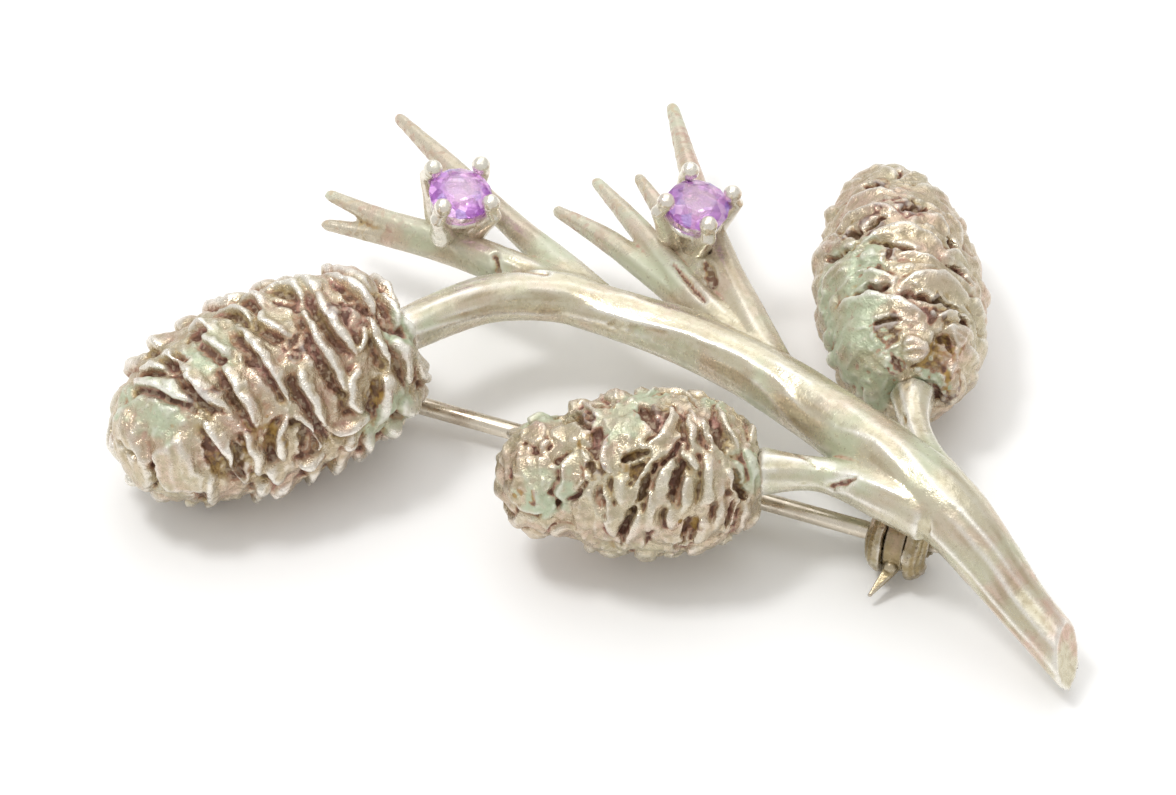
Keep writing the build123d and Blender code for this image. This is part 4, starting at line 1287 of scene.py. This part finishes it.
def catch_rotor(material):
    """The slotted drum with its collar, and the bent lever with a ball at its root."""
    frame = catch_frame()
    slot, width = PIN_CHANNEL_WIDTH / 2, ROTOR_THICKNESS + 2 * ROTOR_GAP + 2 * CHEEK_THICKNESS
    shells = []
    for radius, reach in ((ROTOR_WIDTH / 2, ROTOR_THICKNESS / 2 - DRUM_BEVEL), (COLLAR_WIDTH / 2, width / 2)):
        turn = degrees(acos(slot / radius))
        ring = arc(radius, -turn, 180 + turn) + arc(slot, 180, 0)
        shells.append(plate_shell(ring, -reach, reach, frame))
    out = Vector((0, cos(radians(LEVER_TURN)), sin(radians(LEVER_TURN))))
    flat = Vector((0, -out.z, out.y))
    loops = []
    for reach, shift, wide, thick in LEVER_STEPS:
        middle = out * reach + Vector((shift, 0, 0))
        loops.append([np.array(frame @ (middle + Vector((i * wide / 2, 0, 0)) + flat * j * thick / 2))
                      for i, j in ((-1, -1), (1, -1), (1, 1), (-1, 1))])
    shells.append(loop_shell(loops))
    reach, turn, radius = LEVER_BALL
    ball = frame @ Vector((0, reach * cos(radians(turn)), reach * sin(radians(turn))))
    shells.append(bead_shell(np.array(ball), radius, 16))
    return soldered("catch_rotor_skin", shells, ROTOR_CELL, 3, [], material, "rotor")


# Finishes

def node(tree, kind, **values):
    """A new shader node with its settings."""
    made = tree.nodes.new(kind)
    for name, value in values.items():
        setattr(made, name, value)
    return made


def feed(tree, socket, value):
    """Sets an input to a number or a colour, or links it."""
    if isinstance(value, bpy.types.NodeSocket):
        tree.links.new(value, socket)
    else:
        socket.default_value = value


def sums(tree, operation, a, b, clamp=False):
    """One step of arithmetic, kept within 0 and 1 where asked."""
    made = node(tree, "ShaderNodeMath", operation=operation, use_clamp=clamp)
    feed(tree, made.inputs[0], a)
    feed(tree, made.inputs[1], b)
    return made.outputs[0]


def times(tree, a, b, clamp=False):
    """Two values multiplied."""
    return sums(tree, "MULTIPLY", a, b, clamp)


def plus(tree, a, b, clamp=False):
    """Two values added."""
    return sums(tree, "ADD", a, b, clamp)


def vector_sums(tree, operation, *values):
    """One step of vector arithmetic."""
    made = node(tree, "ShaderNodeVectorMath", operation=operation)
    for socket, value in zip(made.inputs, values):
        feed(tree, socket, value)
    return made.outputs


def between(tree, value, low, high, to_low=0.0, to_high=1.0):
    """A value eased from one range to another."""
    made = node(tree, "ShaderNodeMapRange", interpolation_type="SMOOTHSTEP")
    ranges = {"Value": value, "From Min": low, "From Max": high, "To Min": to_low, "To Max": to_high}
    for name, number in ranges.items():
        feed(tree, made.inputs[name], number)
    return made.outputs["Result"]


def mixed(tree, share, a, b):
    """One colour laid over another."""
    made = node(tree, "ShaderNodeMix", data_type="RGBA")
    feed(tree, made.inputs["Factor"], share)
    feed(tree, made.inputs["A"], a)
    feed(tree, made.inputs["B"], b)
    return made.outputs["Result"]


def cloud(tree, size, detail=3.0, shift=0.0):
    """Cloudy noise over the piece, with patches of about the given size in millimetres."""
    place = node(tree, "ShaderNodeTexCoord").outputs["Object"]
    made = node(tree, "ShaderNodeTexNoise")
    feed(tree, made.inputs["Vector"], vector_sums(tree, "ADD", place, (shift, shift * 0.7, -shift))[0])
    made.inputs["Scale"].default_value = 1 / (size * MM)
    made.inputs["Detail"].default_value = detail
    return made.outputs["Fac"]


def mask(tree, name):
    """One of a piece's own masks."""
    return node(tree, "ShaderNodeAttribute", attribute_name=name).outputs["Fac"]


def new_group(name, inputs, outputs):
    """A node group with named inputs and outputs."""
    group = bpy.data.node_groups.new(name, "ShaderNodeTree")
    for label, value in inputs:
        kind = "NodeSocketColor" if isinstance(value, tuple) else "NodeSocketFloat"
        group.interface.new_socket(label, in_out="INPUT", socket_type=kind).default_value = value
    for label, kind in outputs:
        group.interface.new_socket(label, in_out="OUTPUT", socket_type=kind)
    return group, group.nodes.new("NodeGroupInput").outputs, group.nodes.new("NodeGroupOutput").inputs


def patina_and_painted_light_group():
    """Silver with tarnish and painted light: tarnish and painted shade in the hollows, polished silver and a
    painted highlight on the ridges, mint and blush in patches.
    """
    tree, given, result = new_group("silver patina and painted light", [
        ("Hollow", 0.0), ("Ridge", 0.0), ("Mint", 0.0), ("Ochre", 0.0), ("Blush", 0.3), ("Olive", 0.2),
        ("Streak", 0.0), ("Mint patches", 0.5), ("Specks", 0.5), ("Shine", 0.8), ("Bare", CHAMPAGNE),
    ], [("Colour", "NodeSocketColor"), ("Roughness", "NodeSocketFloat"), ("Metallic", "NodeSocketFloat")])
    broad, patch = cloud(tree, 5.5), cloud(tree, 2.2, 4.0, 0.3)
    fine, speck = cloud(tree, 0.42, 3.0, 0.7), cloud(tree, 0.20, 2.0, 0.9)
    blush = times(tree, between(tree, patch, 0.44, 0.66), given["Blush"], True)
    body = mixed(tree, blush, given["Bare"], BLUSH)
    body = mixed(tree, times(tree, between(tree, fine, 0.42, 0.68), given["Olive"], True), body, OLIVE)
    streak = between(tree, given["Streak"], 0.56, 0.74)
    streak = times(tree, streak, between(tree, patch, 0.35, 0.6, 0.15, 0.5))
    body = mixed(tree, streak, body, OLIVE)
    patches = times(tree, between(tree, broad, 0.44, 0.60), given["Mint patches"])
    minty = plus(tree, patches, given["Mint"], True)
    minty = times(tree, minty, between(tree, fine, 0.25, 0.50, 0.55, 0.95))
    body = mixed(tree, minty, body, MINT)
    # The hollow mask lays on brown tarnish that also serves as painted shade.
    hollow = plus(tree, given["Hollow"], between(tree, fine, 0.3, 0.7, -0.16, 0.16))
    hollow = between(tree, hollow, 0.28, 0.74)
    recess = mixed(tree, between(tree, patch, 0.40, 0.50), DRAB, RECESS)
    recess = mixed(tree, between(tree, patch, 0.52, 0.62), recess, MAUVE)
    # The deepest hollows go near-black, partly blackening and partly painted shade.
    recess = mixed(tree, between(tree, given["Hollow"], 0.72, 1.05, 0.0, 0.85), recess, DEEP_SHADE_AND_FLECKS)
    recess = mixed(tree, between(tree, fine, 0.52, 0.62, 0.0, 0.45), recess, given["Bare"])
    recess = mixed(tree, times(tree, given["Ochre"], between(tree, fine, 0.35, 0.60), True), recess, OCHRE)
    colour = mixed(tree, hollow, body, recess)
    # Ridges go towards near-white: polished silver and a painted highlight.
    ridge = times(tree, given["Ridge"], 0.75, True)
    colour = mixed(tree, ridge, colour, BRIGHT)
    dots = times(tree, between(tree, speck, 0.63, 0.70), given["Specks"], True)
    colour = mixed(tree, dots, colour, DEEP_SHADE_AND_FLECKS)
    feed(tree, result["Colour"], colour)
    dull = plus(tree, times(tree, hollow, 0.26), times(tree, minty, 0.16))
    feed(tree, result["Roughness"], plus(tree, dull, between(tree, fine, 0.3, 0.7, 0.17, 0.32)))
    cover = plus(tree, times(tree, hollow, 0.45), times(tree, minty, 0.45))
    feed(tree, result["Metallic"], sums(tree, "SUBTRACT", given["Shine"], cover, True))
    return tree


def grain_group():
    """The fine grain of cast silver, coarser in the hollows."""
    tree, given, result = new_group("cast grain", [("Hollow", 0.0), ("Coarse", 0.6)],
                                    [("Height", "NodeSocketFloat")])
    fine, coarse = cloud(tree, 0.12, 2.0, 1.3), cloud(tree, 0.34, 3.0, 1.7)
    gritty = times(tree, coarse, plus(tree, given["Coarse"], given["Hollow"]))
    feed(tree, result["Height"], plus(tree, gritty, times(tree, fine, 0.45)))
    return tree


def node_material(name):
    """A new material, its tree and its shader."""
    made = bpy.data.materials.new(name)
    made.use_nodes = True
    return made, made.node_tree, made.node_tree.nodes["Principled BSDF"]


def grouped(tree, group, **values):
    """A group placed in a material with its own values."""
    made = node(tree, "ShaderNodeGroup", node_tree=group)
    for label, value in values.items():
        feed(tree, made.inputs[label.replace("_", " ")], value)
    return made.outputs


def painted(tree, shader, look):
    """The look's colour, painted shade and highlight included, and its roughness and metal on a shader."""
    for label, socket in (("Colour", "Base Color"), ("Roughness", "Roughness"), ("Metallic", "Metallic")):
        tree.links.new(look[label], shader.inputs[socket])


def bumped(tree, shader, height, distance):
    """Fine relief under the shader's light."""
    bump = node(tree, "ShaderNodeBump")
    bump.inputs["Distance"].default_value = distance * MM
    feed(tree, bump.inputs["Height"], height)
    tree.links.new(bump.outputs["Normal"], shader.inputs["Normal"])


def cast_silver(name, groups, relief_mm, own=None, **values):
    """Cast and tarnished silver with painted shade in its hollows and a painted highlight on its ridges, read
    from the piece's own masks, with what else its own masks feed.
    """
    made, tree, shader = node_material(name)
    patina_and_painted_light, grain = groups
    values.update(own(tree) if own else {})
    look = grouped(tree, patina_and_painted_light, Hollow=mask(tree, "hollow"), Ridge=mask(tree, "ridge"), **values)
    painted(tree, shader, look)
    bumped(tree, shader, grouped(tree, grain, Hollow=mask(tree, "hollow"))["Height"], relief_mm)
    return made


def cone_silver(groups):
    """The cones' silver, with mint and ochre where they have settled."""
    def own(tree):
        return {"Mint": mask(tree, "mint"), "Ochre": mask(tree, "ochre")}
    return cast_silver("cone silver", groups, 0.10, own, Blush=0.70, Olive=0.50, Mint_patches=0.20,
                       Specks=0.25)


def stem_silver(groups):
    """The stem's creamy silver, greener on the wood, and browner and duller towards the needles' tips."""
    def own(tree):
        needle = mask(tree, "needle")
        return {"Blush": plus(tree, mask(tree, "blush"), 0.35, True), "Streak": mask(tree, "streak"),
                "Mint_patches": times(tree, mask(tree, "mint"), 0.75),
                "Bare": mixed(tree, needle, CREAM, TAN), "Shine": between(tree, needle, 0.0, 1.0, 0.70, 0.50)}
    return cast_silver("stem silver", groups, 0.025, own, Olive=0.22, Specks=0.18)


def setting_silver(groups):
    """The claws' silver, whiter than the spray's."""
    return cast_silver("setting silver", groups, 0.015, Blush=0.25, Olive=0.15, Mint_patches=0.15, Specks=0.1,
                       Shine=0.9, Bare=WHITE_METAL)


def finding_silver(groups):
    """The dull silver of the hinge bracket and the catch's housing."""
    return cast_silver("finding silver", groups, 0.04, Blush=0.45, Olive=0.85, Mint_patches=0.3, Specks=0.6,
                       Bare=DULL_METAL)


def drawn_silver(groups):
    """Polished wire with fine scratches, a little brown where it is handled least."""
    made, tree, shader = node_material("drawn silver")
    stain = between(tree, cloud(tree, 2.6, 4.0, 0.2), 0.50, 0.68)
    colour = mixed(tree, times(tree, stain, 0.45), (0.74, 0.67, 0.56, 1), (0.38, 0.27, 0.18, 1))
    tree.links.new(colour, shader.inputs["Base Color"])
    feed(tree, shader.inputs["Roughness"], between(tree, cloud(tree, 0.5, 4.0, 0.5), 0.3, 0.7, 0.22, 0.38))
    shader.inputs["Metallic"].default_value = 1.0
    bumped(tree, shader, grouped(tree, groups[1], Coarse=0.1)["Height"], 0.004)
    return made


def catch_silver(groups):
    """The rotor's worn silver, a little darker all over, and dark in its slot with tarnish and painted shade.
    """
    made, tree, shader = node_material("catch silver")
    dark = plus(tree, mask(tree, "hollow"), 0.12, True)
    look = grouped(tree, groups[0], Hollow=dark, Ridge=mask(tree, "ridge"), Blush=0.4, Olive=0.7,
                   Mint_patches=0.2, Specks=0.5, Shine=0.45, Bare=DULL_METAL)
    painted(tree, shader, look)
    bumped(tree, shader, grouped(tree, groups[1], Coarse=0.5)["Height"], 0.03)
    return made


def lilac_stone(place):
    """Clear lilac stone: a pale painted reflection of the light in its heart, painted facet reflections of
    many tints towards its rim, and a painted glow with bright painted glints.
    """
    made, tree, shader = node_material(place.name + " lilac stone")
    stand = setting_frame(place)
    seat, axis = stand @ Vector((0, 0, STONE_SEAT_HEIGHT)), stand.to_3x3() @ Vector((0, 0, 1))
    spot = node(tree, "ShaderNodeTexCoord").outputs["Object"]
    off = vector_sums(tree, "SUBTRACT", spot, seat * MM)
    off_axis = vector_sums(tree, "CROSS_PRODUCT", off[0], axis)
    girdle = STONE_WIDTH / 2 * MM
    rim = between(tree, vector_sums(tree, "LENGTH", off_axis[0])["Value"], 0.30 * girdle, 0.85 * girdle)
    cells = node(tree, "ShaderNodeTexVoronoi")
    feed(tree, cells.inputs["Vector"], spot)
    cells.inputs["Scale"].default_value = 1.9 / MM
    parts = node(tree, "ShaderNodeSeparateColor")
    feed(tree, parts.inputs[0], cells.outputs["Color"])
    # Cells of painted facet reflections, and a pale painted reflection of the light in the heart.
    facet_reflection = STONE_FACET_REFLECTIONS[-1][1:]
    for limit, *colour in reversed(STONE_FACET_REFLECTIONS[:-1]):
        facet_reflection = mixed(tree, between(tree, parts.outputs[0], limit, limit + 0.02), tuple(colour), facet_reflection)
    table_reflection = mixed(tree, 0.22, STONE_TABLE_REFLECTION, facet_reflection)
    tree.links.new(mixed(tree, rim, table_reflection, facet_reflection), shader.inputs["Base Color"])
    # Painted glow: soft lilac over the heart, and bright painted glints in a few cells towards the rim.
    glint = between(tree, parts.outputs[1], 0.80, 0.84)
    shine = mixed(tree, glint, (0.05, 0.015, 0.07, 1), (0.62, 0.42, 0.72, 1))
    tree.links.new(mixed(tree, rim, (0.26, 0.19, 0.27, 1), shine), shader.inputs["Emission Color"])
    shader.inputs["Emission Strength"].default_value = STONE_PAINTED_GLOW[place.name]
    shader.inputs["Transmission Weight"].default_value = 0.80
    shader.inputs["IOR"].default_value = 1.54
    shader.inputs["Roughness"].default_value = 0.01
    return made


def dress(node_name, material):
    """A finish on a solid that keeps its own shape."""
    solid = frame["nodes"][node_name]
    solid.data.materials.clear()
    solid.data.materials.append(material)


OWN = {cone.name: own_forms(cone) for cone in CONES}
groups = (patina_and_painted_light_group(), grain_group())
cone_finish, stem_finish = cone_silver(groups), stem_silver(groups)
setting_finish, finding_finish = setting_silver(groups), finding_silver(groups)
wire_finish = drawn_silver(groups)
cones = [pine_cone(cone, cone_finish) for cone in CONES]
limbs = spray_limbs(stem_finish)
settings = [setting(place, setting_finish) for place in SETTINGS]
findings = [hinge_bracket(finding_finish), catch_housing(finding_finish)]
for made in [limbs] + cones + settings + findings:
    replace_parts(made, "silver_spray")
for place in SETTINGS:
    dress(place.name + "_stone", lilac_stone(place))
dress("pin_stem", wire_finish)
dress("hinge_rivet", wire_finish)
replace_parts(catch_rotor(catch_silver(groups)), "catch_rotor")


def lay_floor():
    """A plain pale floor."""
    mesh = bpy.data.meshes.new("floor")
    corners = [(x * FLOOR_REACH, y * FLOOR_REACH, 0) for x, y in ((-1, -1), (1, -1), (1, 1), (-1, 1))]
    mesh.from_pydata(corners, [], [(0, 1, 2, 3)])
    floor = bpy.data.objects.new("floor", mesh)
    bpy.context.scene.collection.objects.link(floor)
    made, _, shader = node_material("pale floor")
    shader.inputs["Base Color"].default_value = (0.97, 0.97, 0.97, 1)
    shader.inputs["Roughness"].default_value = 0.75
    mesh.materials.append(made)


def area_light(name, place, size, power):
    """A square soft light that looks at the brooch."""
    data = bpy.data.lights.new(name, "AREA")
    data.energy = power
    data.size = size
    lamp = bpy.data.objects.new(name, data)
    lamp.location = place
    lamp.rotation_mode = "QUATERNION"
    lamp.rotation_quaternion = (CAMERA_TARGET * MM - Vector(place)).to_track_quat("-Z", "Y")
    bpy.context.scene.collection.objects.link(lamp)


def light_studio():
    """Even light all round, and three soft lights."""
    world = bpy.data.worlds.new("studio")
    world.use_nodes = True
    background = world.node_tree.nodes["Background"]
    background.inputs["Color"].default_value = (1.0, 0.99, 0.97, 1)
    background.inputs["Strength"].default_value = 0.72
    bpy.context.scene.world = world
    for light in LIGHTS:
        area_light(*light)
    bpy.context.scene.view_settings.view_transform = "Standard"


def place_camera():
    """A long lens at the photo's angle, framed as the photo is."""
    data = bpy.data.cameras.new("camera")
    data.lens = CAMERA_LENS
    data.sensor_width = CAMERA_SENSOR
    distance = PHOTO_WIDTH / PIXELS_PER_MM * CAMERA_LENS / CAMERA_SENSOR
    rise = radians(CAMERA_RISE)
    back = Vector((0, -cos(rise), sin(rise)))
    camera = bpy.data.objects.new("camera", data)
    camera.location = (CAMERA_TARGET + back * distance) * MM
    camera.rotation_mode = "QUATERNION"
    camera.rotation_quaternion = (-back).to_track_quat("-Z", "Y")
    data.clip_start = 0.01
    data.clip_end = 10
    bpy.context.scene.collection.objects.link(camera)
    bpy.context.scene.camera = camera


lay_floor()
light_studio()
place_camera()
